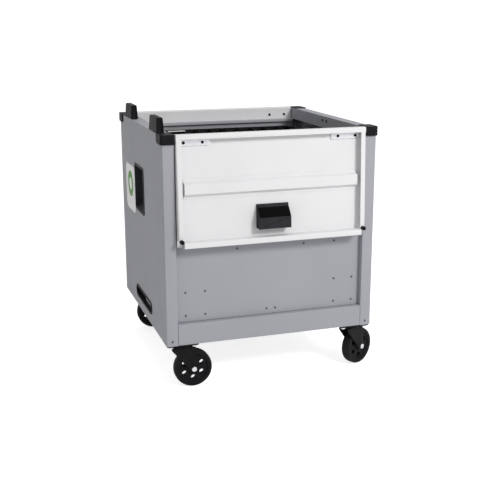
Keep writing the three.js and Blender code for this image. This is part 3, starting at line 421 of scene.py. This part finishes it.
def label_film(name, colour):
    """Printed film: white, with a plain ring in one colour."""
    material, tree, shader = new_material(name, roughness=0.3, specular=0.06)
    place = own_place(tree)
    centre = CABINET @ Vector((0, LABEL_Y, LABEL_Z + RING_RISE))
    from_centre = vector_step(tree, "SUBTRACT", place, centre).outputs["Vector"]
    on_film = vector_step(tree, "MULTIPLY", from_centre, (0, 1, 1)).outputs["Vector"]
    reach = vector_step(tree, "LENGTH", on_film).outputs["Value"]
    rings = tree.nodes.new("ShaderNodeValToRGB")
    rings.color_ramp.interpolation = "CONSTANT"
    middle, ink = rings.color_ramp.elements
    middle.position = 0
    middle.color = FILM_WHITE + (1,)
    ink.position = RING_INNER / RING_SPAN
    ink.color = tuple(colour) + (1,)
    outside = rings.color_ramp.elements.new(RING_OUTER / RING_SPAN)
    outside.color = FILM_WHITE + (1,)
    tree.links.new(multiplied(tree, reach, 1 / RING_SPAN), rings.inputs["Fac"])
    tree.links.new(rings.outputs["Color"], shader.inputs["Base Color"])
    gloss = noise(tree, place, scale=30)
    tree.links.new(graded(tree, gloss, low=0.4, high=0.5), shader.inputs["Roughness"])
    return material


def paper_strip(name):
    """White card with a little tooth."""
    material, tree, shader = new_material(name, roughness=0.7)
    place = own_place(tree)
    cloud = noise(tree, place, scale=90)
    tree.links.new(tinted(tree, cloud, CARD_WHITE, spread=0.03), shader.inputs["Base Color"])
    bumped(tree, shader, noise(tree, place, scale=900), strength=0.15, depth=0.1 * MM)
    return material


materials = {}


def shaded(colour, share):
    """The colour, lighter or darker by a share, for painted light and painted shade."""
    return [share * channel for channel in colour]


def mix_finishes():
    """Make each finish once: one for each of the record's slots, and a few for single faces and pieces, among them
    copies painted darker and lighter as painted shade and painted light.
    """
    finishes = bpy.context.scene.cart_finishes
    black = finishes.black_plastic
    materials["grey_paint"] = powder_coat("cabinet_grey_powder_coat", finishes.grey_paint)
    # Panel screw heads: the cabinet grey painted darker, as painted shade
    materials["screw_painted_shade"] = powder_coat("panel_screw_painted_shade_grey", shaded(finishes.grey_paint, SCREW_PAINTED_SHADE))
    materials["white_paint"] = powder_coat("lid_white_powder_coat", finishes.white_paint)
    materials["black_plastic"] = moulded_plastic("black_moulding", black)
    materials["handle_plastic"] = moulded_plastic("charcoal_moulding", finishes.handle_plastic)
    # Finger pull front: the moulding black painted lighter as if lit, as painted light
    materials["pull_front"] = moulded_plastic("pull_front_black", shaded(black, PULL_FRONT_PAINTED_LIGHT))
    # Finger pull well: the moulding black painted darker, as painted shade
    well_black = shaded(black, PULL_WELL_PAINTED_SHADE)
    materials["pull_well"] = moulded_plastic("pull_well_black", well_black, specular=0.03)
    materials["black_steel"] = black_paint("satin_black_steel", finishes.black_steel)
    materials["zinc"] = zinc_plate("zinc_plate", finishes.zinc)
    materials["rubber"] = worn_rubber("buffer_rubber", finishes.rubber)
    materials["tyre"] = worn_rubber("tyre_rubber", finishes.rubber)
    materials["label"] = label_film("label_film", finishes.label_green)
    materials["card"] = paper_strip("rack_card")


def finish_named(name):
    """The finish of this name. All of them are mixed at the first call."""
    if not materials:
        mix_finishes()
    return materials[name]


# Modelling helpers

def only(piece):
    """Leave just this piece selected and active."""
    bpy.ops.object.select_all(action="DESELECT")
    piece.select_set(True)
    bpy.context.view_layer.objects.active = piece


def edit(piece):
    """Go into edit mode on this piece alone."""
    only(piece)
    bpy.ops.object.mode_set(mode="EDIT")
    bpy.ops.mesh.select_mode(type="VERT")


def pick_faces(piece, test):
    """Select, in edit mode, the faces whose centre and normal pass the test."""
    bpy.ops.object.mode_set(mode="OBJECT")
    mesh = piece.data
    for parts in (mesh.vertices, mesh.edges, mesh.polygons):
        parts.foreach_set("select", [False] * len(parts))
    for face in mesh.polygons:
        face.select = test(face.center, face.normal)
    bpy.ops.object.mode_set(mode="EDIT")
    bpy.ops.mesh.select_mode(type="FACE")


def close_mesh(piece):
    """Merge doubles and turn the faces outwards."""
    edit(piece)
    bpy.ops.mesh.select_all(action="SELECT")
    bpy.ops.mesh.remove_doubles(threshold=WELD)
    bpy.ops.mesh.normals_make_consistent(inside=False)
    bpy.ops.object.mode_set(mode="OBJECT")


def round_edges(piece, width, segments=2, angle=50):
    """Round every edge sharper than the angle, and shade the rest smooth."""
    only(piece)
    bevel = piece.modifiers.new("edge", "BEVEL")
    bevel.width = width
    bevel.segments = segments
    bevel.limit_method = "ANGLE"
    bevel.angle_limit = math.radians(angle)
    bevel.use_clamp_overlap = False
    bpy.ops.object.modifier_apply(modifier=bevel.name)
    even_shading(piece)


def even_shading(piece, angle=35):
    """Smooth shading in which the large flat faces keep their own normals."""
    only(piece)
    bpy.ops.object.shade_smooth_by_angle(angle=math.radians(angle))
    weighted = piece.modifiers.new("normals", "WEIGHTED_NORMAL")
    weighted.keep_sharp = True
    bpy.ops.object.modifier_apply(modifier=weighted.name)


def apply_place(piece):
    """Put the object's place, turn and scale into its mesh."""
    only(piece)
    bpy.ops.object.transform_apply(location=True, rotation=True, scale=True)


def finish_piece(piece, name, body, slot, material=None):
    """Name the piece, paint it, and let it ride on its body."""
    piece.name = name
    piece.data.name = name
    piece.data.materials.clear()
    piece.data.materials.append(material or finish_named(slot))
    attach(piece, body)


def copied(piece, place):
    """A copy of the piece with its own mesh, moved by the matrix."""
    mesh = piece.data.copy()
    mesh.transform(place)
    copy = bpy.data.objects.new(piece.name, mesh)
    bpy.context.scene.collection.objects.link(copy)
    return copy


def discard(piece):
    """Remove a piece that was only a pattern or a cutter."""
    mesh = piece.data
    bpy.data.objects.remove(piece)
    bpy.data.meshes.remove(mesh)


def softened(node, width, material=None):
    """A copy of a node with its edges broken, shown in the node's place."""
    piece = copied(frame["nodes"][node], Matrix.Identity(4))
    edit(piece)
    bpy.ops.mesh.select_all(action="SELECT")
    bpy.ops.mesh.remove_doubles(threshold=NODE_WELD)
    bpy.ops.object.mode_set(mode="OBJECT")
    round_edges(piece, width)
    finish_piece(piece, node + "_finished", BODY_OF[node], SLOT_OF[node], material)
    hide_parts(node)


def added_cube(place, size):
    """A cube at this place, stretched to the size, to start a piece from."""
    bpy.ops.object.select_all(action="DESELECT")
    bpy.ops.mesh.primitive_cube_add(size=1, location=place)
    piece = bpy.context.object
    piece.scale = size
    apply_place(piece)
    return piece


def added_cylinder(sides, radius, depth, place=(0, 0, 0), turn=(0, 0, 0)):
    """A cylinder at this place, to start a piece from."""
    bpy.ops.object.select_all(action="DESELECT")
    bpy.ops.mesh.primitive_cylinder_add(
        vertices=sides, radius=radius, depth=depth, location=place, rotation=turn)
    piece = bpy.context.object
    apply_place(piece)
    return piece


def drawn_line(name, points):
    """A line of vertices through the points, drawn by extruding one vertex."""
    bpy.ops.object.select_all(action="DESELECT")
    bpy.ops.mesh.primitive_plane_add(size=MM, location=points[0])
    piece = bpy.context.object
    piece.name = name
    apply_place(piece)
    edit(piece)
    bpy.ops.mesh.select_all(action="SELECT")
    bpy.ops.mesh.merge(type="CENTER")
    for start, end in zip(points, points[1:]):
        step = Vector(end) - Vector(start)
        bpy.ops.mesh.extrude_vertices_move(TRANSFORM_OT_translate={"value": step})
    return piece


def spun_about_y(name, section):
    """A section, given as its half of radius and width, mirrored and spun about the Y axis."""
    closed = section + tuple((radius, -y) for radius, y in reversed(section)) + section[:1]
    piece = drawn_line(name, [(radius * MM, y * MM, 0) for radius, y in closed])
    bpy.ops.mesh.select_all(action="SELECT")
    bpy.ops.mesh.spin(steps=WHEEL_SIDES, angle=2 * math.pi, center=(0, 0, 0), axis=(0, 1, 0))
    bpy.ops.object.mode_set(mode="OBJECT")
    close_mesh(piece)
    if not piece.data.polygons:
        raise RuntimeError(f"{name} was not spun")
    return piece


def cut_with(piece, cutter):
    """Cut the cutter's shape out of the piece, and remove the cutter."""
    only(piece)
    difference = piece.modifiers.new("cut", "BOOLEAN")
    difference.operation = "DIFFERENCE"
    difference.solver = "EXACT"
    difference.object = cutter
    bpy.ops.object.modifier_apply(modifier=difference.name)
    discard(cutter)


def looks_up(centre, normal):
    """Whether a face looks up."""
    return normal.z > 0.9


def hex_head(name, radius, height, shank):
    """A chamfered hexagon head that stands up from z = 0, with its washer face and the end of its shank."""
    chamfer = HEX_CHAMFER * height
    piece = added_cylinder(6, radius, height - chamfer, (0, 0, (height - chamfer) / 2))
    piece.name = name
    edit(piece)
    pick_faces(piece, looks_up)
    bpy.ops.mesh.inset(thickness=HEX_CHAMFER * radius, depth=chamfer)
    washer_face = (1 - HEX_CHAMFER) * radius * math.cos(math.pi / 6)
    bpy.ops.mesh.inset(thickness=washer_face - shank, depth=0)
    bpy.ops.mesh.inset(thickness=HEX_END_RIM * shank, depth=-chamfer / 2)
    bpy.ops.object.mode_set(mode="OBJECT")
    round_edges(piece, HEX_EDGE * radius, angle=25)
    return piece


def panel_screw(name, radius, height):
    """A domed screw head that stands up from z = 0, with a cross recess."""
    piece = added_cylinder(ROUND_SIDES, radius, height, (0, 0, height / 2))
    piece.name = name
    edit(piece)
    pick_faces(piece, looks_up)
    bpy.ops.mesh.bevel(offset=SCREW_DOME * height, segments=3, affect="EDGES")
    bpy.ops.object.mode_set(mode="OBJECT")
    arm = CROSS_ARM * radius
    slot = CROSS_SLOT * arm
    for size in ((2 * arm, slot, height), (slot, 2 * arm, height)):
        cut_with(piece, added_cube((0, 0, height), size))
    only(piece)
    bpy.ops.object.shade_smooth_by_angle(angle=math.radians(40))
    return piece


def rounded_plate(name, width, height, thickness, radius):
    """A thin plate with round corners, flat on z = 0."""
    bpy.ops.object.select_all(action="DESELECT")
    bpy.ops.mesh.primitive_plane_add(size=1)
    piece = bpy.context.object
    piece.name = name
    piece.scale = (width, height, 1)
    apply_place(piece)
    edit(piece)
    bpy.ops.mesh.select_all(action="SELECT")
    bpy.ops.mesh.bevel(offset=radius, segments=8, affect="VERTICES")
    bpy.ops.mesh.select_all(action="SELECT")
    bpy.ops.mesh.extrude_region_move(TRANSFORM_OT_translate={"value": (0, 0, thickness)})
    bpy.ops.object.mode_set(mode="OBJECT")
    close_mesh(piece)
    round_edges(piece, PLATE_EDGE * thickness)
    return piece


def facing(direction):
    """A turn that points +Z along the direction."""
    return Vector(direction).to_track_quat("Z", "Y").to_matrix().to_4x4()


def leaf_frame(leaf):
    """The frame of a lid leaf: its pivot axis along X, hanging as at rest."""
    turn = 0 if leaf == "front" else math.pi
    hang = Matrix.Translation((0, -PIVOT_Y, PIVOT_Z)) @ Matrix.Rotation(-LEAF_LEAN, 4, "X")
    return CABINET @ Matrix.Rotation(turn, 4, "Z") @ hang


def castor_frame(name):
    """The frame of a wheel: its axle along Y through the origin."""
    joint = JOINTS[f"wheel_{name}_roll"]
    axis = Vector(joint["axis"])
    turn = math.atan2(-axis.x, axis.y)
    return Matrix.Translation(joint["pos_m"]) @ Matrix.Rotation(turn, 4, "Z")


# Operators

class CART_OT_sheet_metal(bpy.types.Operator):
    """Break the edges of the painted cabinet sheets and give them their powder coat"""

    bl_idname = "cart.sheet_metal"
    bl_label = "Cabinet sheet metal"

    def execute(self, context):
        for node, slot in SLOT_OF.items():
            if slot == "grey_paint":
                softened(node, context.scene.cart_details.sheet_edge)
        return {"FINISHED"}


class CART_OT_lid_leaves(bpy.types.Operator):
    """Finish both lid leaves with their ribs, pivots and buffers"""

    bl_idname = "cart.lid_leaves"
    bl_label = "Lid leaves"

    def execute(self, context):
        for leaf in ("front_lid", "rear_lid"):
            for node in BODIES[leaf]:
                if not node.endswith("_pull"):
                    softened(node, context.scene.cart_details.sheet_edge)
        return {"FINISHED"}


class CART_OT_finger_pulls(bpy.types.Operator):
    """Finish the back of each finger pull: a sunk slope in painted shade over a framed front in painted light"""

    bl_idname = "cart.finger_pulls"
    bl_label = "Finger pulls"

    def execute(self, context):
        for leaf, out in (("front", -1), ("rear", 1)):
            node = f"{leaf}_lid_pull"
            low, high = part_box(node)
            front_limit = max(out * low.y, out * high.y) - PULL_FRONT_DEPTH

            def slope(centre, normal):
                return 0.3 < normal.z < 0.9 and out * normal.y > 0.3

            def front(centre, normal):
                return out * normal.y > 0.95 and out * centre.y > front_limit

            piece = copied(frame["nodes"][node], Matrix.Identity(4))
            close_mesh(piece)
            edit(piece)
            pick_faces(piece, slope)
            bpy.ops.mesh.inset(thickness=PULL_SLOPE_RIM, depth=-PULL_WELL_DEPTH, use_even_offset=False)
            pick_faces(piece, front)
            bpy.ops.mesh.inset(thickness=PULL_BORDER, depth=0, use_even_offset=False)
            bpy.ops.mesh.inset(thickness=PULL_STEP_WIDTH, depth=-PULL_STEP_DEPTH, use_even_offset=False)
            bpy.ops.object.mode_set(mode="OBJECT")
            even_shading(piece)
            # The front takes the black painted lighter, as painted light, and the sunk well takes the black
            # painted darker, as painted shade
            paint = finish_named("pull_front")
            finish_piece(piece, node + "_finished", f"{leaf}_lid", "black_plastic", paint)
            piece.data.materials.append(finish_named("pull_well"))
            slopes = [face for face in piece.data.polygons if slope(face.center, face.normal)]
            if not slopes:
                raise RuntimeError(f"{node} has no slope to sink")
            # Only the sunk faces of the slope get the painted shade, not the rim around them
            proudest = max(face.center.dot(face.normal) for face in slopes)
            for face in slopes:
                if face.center.dot(face.normal) < proudest - MM:
                    face.material_index = 1
            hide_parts(node)
        return {"FINISHED"}


class CART_OT_mouldings(bpy.types.Operator):
    """Finish the caps, handles, inlet and racks as grained mouldings"""

    bl_idname = "cart.mouldings"
    bl_label = "Mouldings"

    def execute(self, context):
        edge = context.scene.cart_details.moulding_edge
        for node in BODIES["cabinet"]:
            if SLOT_OF[node] != "black_plastic" or node.startswith("cord_horn"):
                continue
            if node.startswith("carrying_handle"):
                softened(node, edge, finish_named("handle_plastic"))
            else:
                softened(node, edge)
        return {"FINISHED"}


class CART_OT_inlet_plate(bpy.types.Operator):
    """Set the grey ledge with round ends in the front part of the power inlet's tray"""

    bl_idname = "cart.inlet_plate"
    bl_label = "Inlet plate"

    def execute(self, context):
        low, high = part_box("power_inlet_tray")
        height = high.z - low.z - 2 * INLET_RIM
        corner = LEDGE_ROUNDING * height
        plate = rounded_plate("inlet_plate", INLET_LEDGE_LENGTH, height, INLET_LEDGE_THICKNESS, corner)
        middle_y = low.y + INLET_RIM + INLET_LEDGE_LENGTH / 2
        spot = (low.x + INLET_LEDGE_DEPTH, middle_y, (low.z + high.z) / 2)
        plate.data.transform(Matrix.Translation(spot) @ facing((-1, 0, 0)))
        finish_piece(plate, "inlet_plate", "cabinet", "grey_paint")
        return {"FINISHED"}


class CART_OT_rack_boards(bpy.types.Operator):
    """Close the wall side of each device rack with a black board, as painted shade that darkens the cabinet's
    inside
    """

    bl_idname = "cart.rack_boards"
    bl_label = "Rack boards"

    def execute(self, context):
        for row, wall in (("front", -1), ("rear", 1)):
            low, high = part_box(f"device_rack_{row}")
            face = high.y if wall > 0 else low.y
            board = rounded_plate("board", high.x - low.x, high.z - low.z, BOARD_THICKNESS, BOARD_CORNER)
            spot = ((low.x + high.x) / 2, face - wall * BOARD_SEAT, (low.z + high.z) / 2)
            board.data.transform(Matrix.Translation(spot) @ facing((0, wall, 0)))
            # The black board darkens the inside of the cabinet, as painted shade
            finish_piece(board, f"rack_shade_board_{row}", "cabinet", "black_plastic")
        return {"FINISHED"}


class CART_OT_cord_horns(bpy.types.Operator):
    """Model the two horns that the supply cord is wound on, each on its strip"""

    bl_idname = "cart.cord_horns"
    bl_label = "Cord horns"

    def execute(self, context):
        for node, strip_end in (("cord_horn_front", -1), ("cord_horn_rear", 1)):
            low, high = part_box(node)
            height = high.z - low.z
            middle_x = (low.x + high.x) / 2
            middle_y = high.y - HORN_LENGTH / 2 if strip_end < 0 else low.y + HORN_LENGTH / 2
            middle = (middle_x, middle_y, low.z + height / 2)
            horn = added_cube(middle, (HORN_WIDTH, HORN_LENGTH, height))
            edit(horn)
            pick_faces(horn, looks_up)
            bpy.ops.transform.resize(value=HORN_TAPER, center_override=(middle_x, middle_y, high.z))
            bpy.ops.mesh.select_all(action="SELECT")
            bpy.ops.mesh.bevel(offset=HORN_EDGE, segments=5, affect="EDGES")
            pick_faces(horn, lambda centre, normal: abs(normal.y) > 0.9)
            bpy.ops.mesh.inset(thickness=HORN_END_BORDER, depth=0, use_individual=True)
            bpy.ops.mesh.inset(thickness=HORN_HOLLOW_SLOPE, depth=-HORN_HOLLOW_DEPTH, use_individual=True)
            bpy.ops.object.mode_set(mode="OBJECT")
            far_y = low.y if strip_end < 0 else high.y
            strip_middle = (middle_x, (far_y + middle_y) / 2, low.z + HORN_STRIP / 2)
            strip = added_cube(strip_middle, (HORN_WIDTH, abs(far_y - middle_y), HORN_STRIP))
            round_edges(strip, HORN_STRIP_EDGE)
            horn.select_set(True)
            bpy.context.view_layer.objects.active = horn
            bpy.ops.object.join()
            even_shading(horn)
            finish_piece(horn, node + "_finished", "cabinet", "black_plastic")
            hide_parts(node)
        return {"FINISHED"}


class CART_OT_steelwork(bpy.types.Operator):
    """Finish the black steel: castor plates and forks, the shelf and the lid rests"""

    bl_idname = "cart.steelwork"
    bl_label = "Black steelwork"

    def execute(self, context):
        for node, slot in SLOT_OF.items():
            if slot == "black_steel":
                softened(node, STEEL_EDGE)
        return {"FINISHED"}


class CART_OT_wheels(bpy.types.Operator):
    """Spin the wheel cores and their tyres and set one in each castor"""

    bl_idname = "cart.wheels"
    bl_label = "Wheels and tyres"

    def execute(self, context):
        core = spun_about_y("wheel_core", CORE_SECTION)
        for number in range(CORE_HOLES):
            angle = (number + 0.5) * 2 * math.pi / CORE_HOLES
            place = (CORE_HOLE_CIRCLE * math.cos(angle), 0, CORE_HOLE_CIRCLE * math.sin(angle))
            hole = added_cylinder(HOLE_SIDES, CORE_HOLE_RADIUS, CORE_HOLE_DEPTH, place, ALONG_Y)
            cut_with(core, hole)
        round_edges(core, CORE_EDGE, segments=3, angle=40)
        tyre = spun_about_y("tyre", TYRE_SECTION)
        round_edges(tyre, TYRE_EDGE)
        for name in CASTORS:
            place = castor_frame(name)
            for source, node, slot in ((core, f"castor_wheel_{name}", "black_plastic"),
                                       (tyre, f"castor_tyre_{name}", "tyre")):
                piece = copied(source, place)
                finish_piece(piece, node + "_finished", f"wheel_{name}", slot)
                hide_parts(node)
        discard(core)
        discard(tyre)
        return {"FINISHED"}


class CART_OT_axle_bolts(bpy.types.Operator):
    """Model the axle bolt with its head and nut and set one in each castor"""

    bl_idname = "cart.axle_bolts"
    bl_label = "Axle bolts"

    def execute(self, context):
        head = hex_head("axle_bolt", AXLE_HEAD_RADIUS, AXLE_HEAD_HEIGHT, AXLE_END)
        front = copied(head, Matrix.Translation((0, -FORK_FACE, 0)) @ facing((0, -1, 0)))
        back = copied(head, Matrix.Translation((0, FORK_FACE, 0)) @ facing((0, 1, 0)))
        discard(head)
        length = 2 * (FORK_FACE + AXLE_BITE)
        shank = added_cylinder(ROUND_SIDES, AXLE_RADIUS, length, turn=ALONG_Y)
        round_edges(shank, SHANK_EDGE)
        only(shank)
        front.select_set(True)
        back.select_set(True)
        bpy.ops.object.join()
        for name in CASTORS:
            node = f"castor_axle_{name}"
            piece = copied(shank, castor_frame(name))
            finish_piece(piece, node + "_finished", f"swivel_{name}", "zinc")
            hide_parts(node)
        discard(shank)
        return {"FINISHED"}


class CART_OT_castor_bolts(bpy.types.Operator):
    """Bolt each castor plate to the base, heads below"""

    bl_idname = "cart.castor_bolts"
    bl_label = "Castor bolts"

    def execute(self, context):
        details = context.scene.cart_details
        head = hex_head("castor_bolt", details.bolt_radius, details.bolt_height, BOLT_END)
        plate_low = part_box("castor_plate_front_left")[1].z - CASTOR_PLATE
        corners = [(x, y) for x in (-0.5, 0.5) for y in (-0.5, 0.5)]
        for name in CASTORS:
            pin = Vector(JOINTS[f"swivel_{name}_turn"]["pos_m"])
            for number, (x, y) in enumerate(corners, 1):
                spot = (pin.x + x * BOLT_SPACING_X, pin.y + y * BOLT_SPACING_Y, plate_low)
                piece = copied(head, Matrix.Translation(spot) @ facing((0, 0, -1)))
                finish_piece(piece, f"castor_bolt_{name}_{number}", "cabinet", "zinc")
        discard(head)
        return {"FINISHED"}


class CART_OT_screws(bpy.types.Operator):
    """Set the screws of the front panel, the posts, the right rail and the lid pivots"""

    bl_idname = "cart.screws"
    bl_label = "Panel and pivot screws"

    def execute(self, context):
        details = context.scene.cart_details
        screw = panel_screw("screw", details.screw_radius, details.screw_height)
        pivot_screw = panel_screw("pivot_screw", details.pivot_screw_radius, details.screw_height)
        panel_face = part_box("front_panel")[0].y
        post_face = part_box("left_side_panel")[0].y
        for group, spots, face in (("panel", PANEL_SCREWS, panel_face), ("post", POST_SCREWS, post_face)):
            for number, (x, z) in enumerate(spots, 1):
                point = CABINET @ Vector((x * MM, 0, z * MM))
                place = Matrix.Translation((point.x, face, point.z)) @ facing((0, -1, 0))
                piece = copied(screw, place)
                # The screw heads take the cabinet grey painted darker, as painted shade
                paint = finish_named("screw_painted_shade")
                finish_piece(piece, f"{group}_screw_{number}", "cabinet", "grey_paint", paint)
        for number, (y, z) in enumerate(RAIL_SCREWS, 1):
            point = CABINET @ Vector((RAIL_FACE * MM, y * MM, z * MM))
            piece = copied(pivot_screw, Matrix.Translation(point) @ facing((-1, 0, 0)))
            finish_piece(piece, f"rail_screw_{number}", "cabinet", "black_steel")
        faces = ((PIVOT_PLATE_FACE, -1), (LEAF_FLOOR_OUTER, 1))
        spots = [(side * x, y, way) for x in PLATE_SCREW_X for side in (-1, 1) for y, way in faces]
        for leaf in ("front", "rear"):
            for number, (x, y, way) in enumerate(spots, 1):
                spot = Matrix.Translation((x * MM, y, -PLATE_SCREW_DROP * MM))
                piece = copied(pivot_screw, leaf_frame(leaf) @ spot @ facing((0, way, 0)))
                finish_piece(piece, f"{leaf}_pivot_screw_{number}", f"{leaf}_lid", "black_steel")
        discard(screw)
        discard(pivot_screw)
        return {"FINISHED"}


class CART_OT_labels(bpy.types.Operator):
    """Stick the plain label on the left side and lay the card on the rack"""

    bl_idname = "cart.labels"
    bl_label = "Label and rack card"

    def execute(self, context):
        details = context.scene.cart_details
        width = details.label_width
        height = details.label_height
        label = rounded_plate("side_label", width, height, LABEL_FILM, LABEL_CORNER)
        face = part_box("left_side_panel")[0].x
        middle = CABINET @ Vector((0, LABEL_Y, LABEL_Z))
        spot = (face - LABEL_STAND, middle.y, middle.z)
        label.data.transform(Matrix.Translation(spot) @ facing((-1, 0, 0)))
        finish_piece(label, "side_label", "cabinet", "white_paint", finish_named("label"))
        card = rounded_plate("rack_card", CARD_LENGTH, CARD_WIDTH, CARD_THICKNESS, CARD_CORNER)
        rack_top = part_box("device_rack_rear")[1].z
        middle = CABINET @ Vector((CARD_X, CARD_Y, 0))
        card.data.transform(Matrix.Translation((middle.x, middle.y, rack_top + CARD_STAND)))
        finish_piece(card, "rack_card", "cabinet", "white_paint", finish_named("card"))
        return {"FINISHED"}


# Studio

def area_lamp(name, place, target, size, power):
    """A round soft lamp that looks at its target."""
    data = bpy.data.lights.new(name, "AREA")
    data.shape = "DISK"
    data.size = size
    data.energy = power
    lamp = bpy.data.objects.new(name, data)
    lamp.location = place
    lamp.rotation_euler = (Vector(target) - Vector(place)).to_track_quat("-Z", "Y").to_euler()
    bpy.context.scene.collection.objects.link(lamp)


def background_rays(tree):
    """1 for a ray that sees the background by eye, in a mirror or through glass."""
    rays = tree.nodes.new("ShaderNodeLightPath")
    total = rays.outputs["Is Camera Ray"]
    for name in ("Is Glossy Ray", "Is Transmission Ray"):
        widest = tree.nodes.new("ShaderNodeMath")
        widest.operation = "MAXIMUM"
        tree.links.new(total, widest.inputs[0])
        tree.links.new(rays.outputs[name], widest.inputs[1])
        total = widest.outputs["Value"]
    return total


def white_world():
    """A world that looks white and lights the cart less than it looks."""
    world = bpy.data.worlds.new("studio_white")
    world.use_nodes = True
    tree = world.node_tree
    tree.nodes.clear()
    light = tree.nodes.new("ShaderNodeBackground")
    light.inputs["Color"].default_value = (1, 1, 1, 1)
    light.inputs["Strength"].default_value = AMBIENT
    white = tree.nodes.new("ShaderNodeBackground")
    white.inputs["Color"].default_value = (1, 1, 1, 1)
    mix = tree.nodes.new("ShaderNodeMixShader")
    out = tree.nodes.new("ShaderNodeOutputWorld")
    tree.links.new(background_rays(tree), mix.inputs["Fac"])
    tree.links.new(light.outputs["Background"], mix.inputs[1])
    tree.links.new(white.outputs["Background"], mix.inputs[2])
    tree.links.new(mix.outputs["Shader"], out.inputs["Surface"])
    bpy.context.scene.world = world


def white_floor():
    """A wide pale floor that is white where it is lit, and keeps the cart's shadow."""
    bpy.ops.object.select_all(action="DESELECT")
    bpy.ops.mesh.primitive_plane_add(size=FLOOR_SIZE)
    floor = bpy.context.object
    floor.name = "studio_floor"
    material, tree, shader = new_material("floor_white", roughness=0.9, specular=0)
    shader.inputs["Base Color"].default_value = (FLOOR_WHITE, FLOOR_WHITE, FLOOR_WHITE, 1)
    glow = tree.nodes.new("ShaderNodeEmission")
    both = tree.nodes.new("ShaderNodeAddShader")
    tree.links.new(multiplied(tree, background_rays(tree), FLOOR_GLOW), glow.inputs["Strength"])
    tree.links.new(shader.outputs["BSDF"], both.inputs[0])
    tree.links.new(glow.outputs["Emission"], both.inputs[1])
    tree.links.new(both.outputs["Shader"], tree.nodes["Material Output"].inputs["Surface"])
    floor.data.materials.append(material)


class CART_OT_stage(bpy.types.Operator):
    """Set up the white floor, the soft lamps and the camera"""

    bl_idname = "cart.stage"
    bl_label = "Studio"

    def execute(self, context):
        scene = context.scene
        white_floor()
        white_world()
        for softbox in SOFTBOXES:
            area_lamp(*softbox)
        data = bpy.data.cameras.new("camera")
        data.lens = CAMERA_LENS
        data.sensor_width = CAMERA_SENSOR
        camera = bpy.data.objects.new("camera", data)
        camera.location = CAMERA_PLACE
        aim = CAMERA_TARGET - CAMERA_PLACE
        roll = Matrix.Rotation(CAMERA_ROLL, 4, "Z")
        camera.rotation_euler = (aim.to_track_quat("-Z", "Y").to_matrix().to_4x4() @ roll).to_euler()
        scene.collection.objects.link(camera)
        scene.camera = camera
        scene.view_settings.view_transform = "Standard"
        return {"FINISHED"}


OPERATORS = (
    CART_OT_sheet_metal,
    CART_OT_lid_leaves,
    CART_OT_finger_pulls,
    CART_OT_mouldings,
    CART_OT_inlet_plate,
    CART_OT_rack_boards,
    CART_OT_cord_horns,
    CART_OT_steelwork,
    CART_OT_wheels,
    CART_OT_axle_bolts,
    CART_OT_castor_bolts,
    CART_OT_screws,
    CART_OT_labels,
    CART_OT_stage,
)


class CART_PT_panel(bpy.types.Panel):
    """The cart's finishes, details and steps"""

    bl_idname = "CART_PT_panel"
    bl_label = "Charging cart"
    bl_space_type = "VIEW_3D"
    bl_region_type = "UI"
    bl_category = "Cart"

    def draw(self, context):
        for settings in (context.scene.cart_finishes, context.scene.cart_details):
            for name in settings.__annotations__:
                self.layout.prop(settings, name)
        for operator in OPERATORS:
            self.layout.operator(operator.bl_idname)


CLASSES = (CartFinishes, CartDetails) + OPERATORS + (CART_PT_panel,)


def register():
    """Make the add-on's classes and settings known."""
    for entry in CLASSES:
        bpy.utils.register_class(entry)
    bpy.types.Scene.cart_finishes = bpy.props.PointerProperty(type=CartFinishes)
    bpy.types.Scene.cart_details = bpy.props.PointerProperty(type=CartDetails)


def unregister():
    """Take the add-on's classes and settings away again."""
    del bpy.types.Scene.cart_details
    del bpy.types.Scene.cart_finishes
    for entry in reversed(CLASSES):
        bpy.utils.unregister_class(entry)


def main():
    """Build the whole cart in order."""
    register()
    bpy.ops.cart.sheet_metal()
    bpy.ops.cart.lid_leaves()
    bpy.ops.cart.finger_pulls()
    bpy.ops.cart.mouldings()
    bpy.ops.cart.inlet_plate()
    bpy.ops.cart.rack_boards()
    bpy.ops.cart.cord_horns()
    bpy.ops.cart.steelwork()
    bpy.ops.cart.wheels()
    bpy.ops.cart.axle_bolts()
    bpy.ops.cart.castor_bolts()
    bpy.ops.cart.screws()
    bpy.ops.cart.labels()
    bpy.ops.cart.stage()


if __name__ == "__main__":
    main()
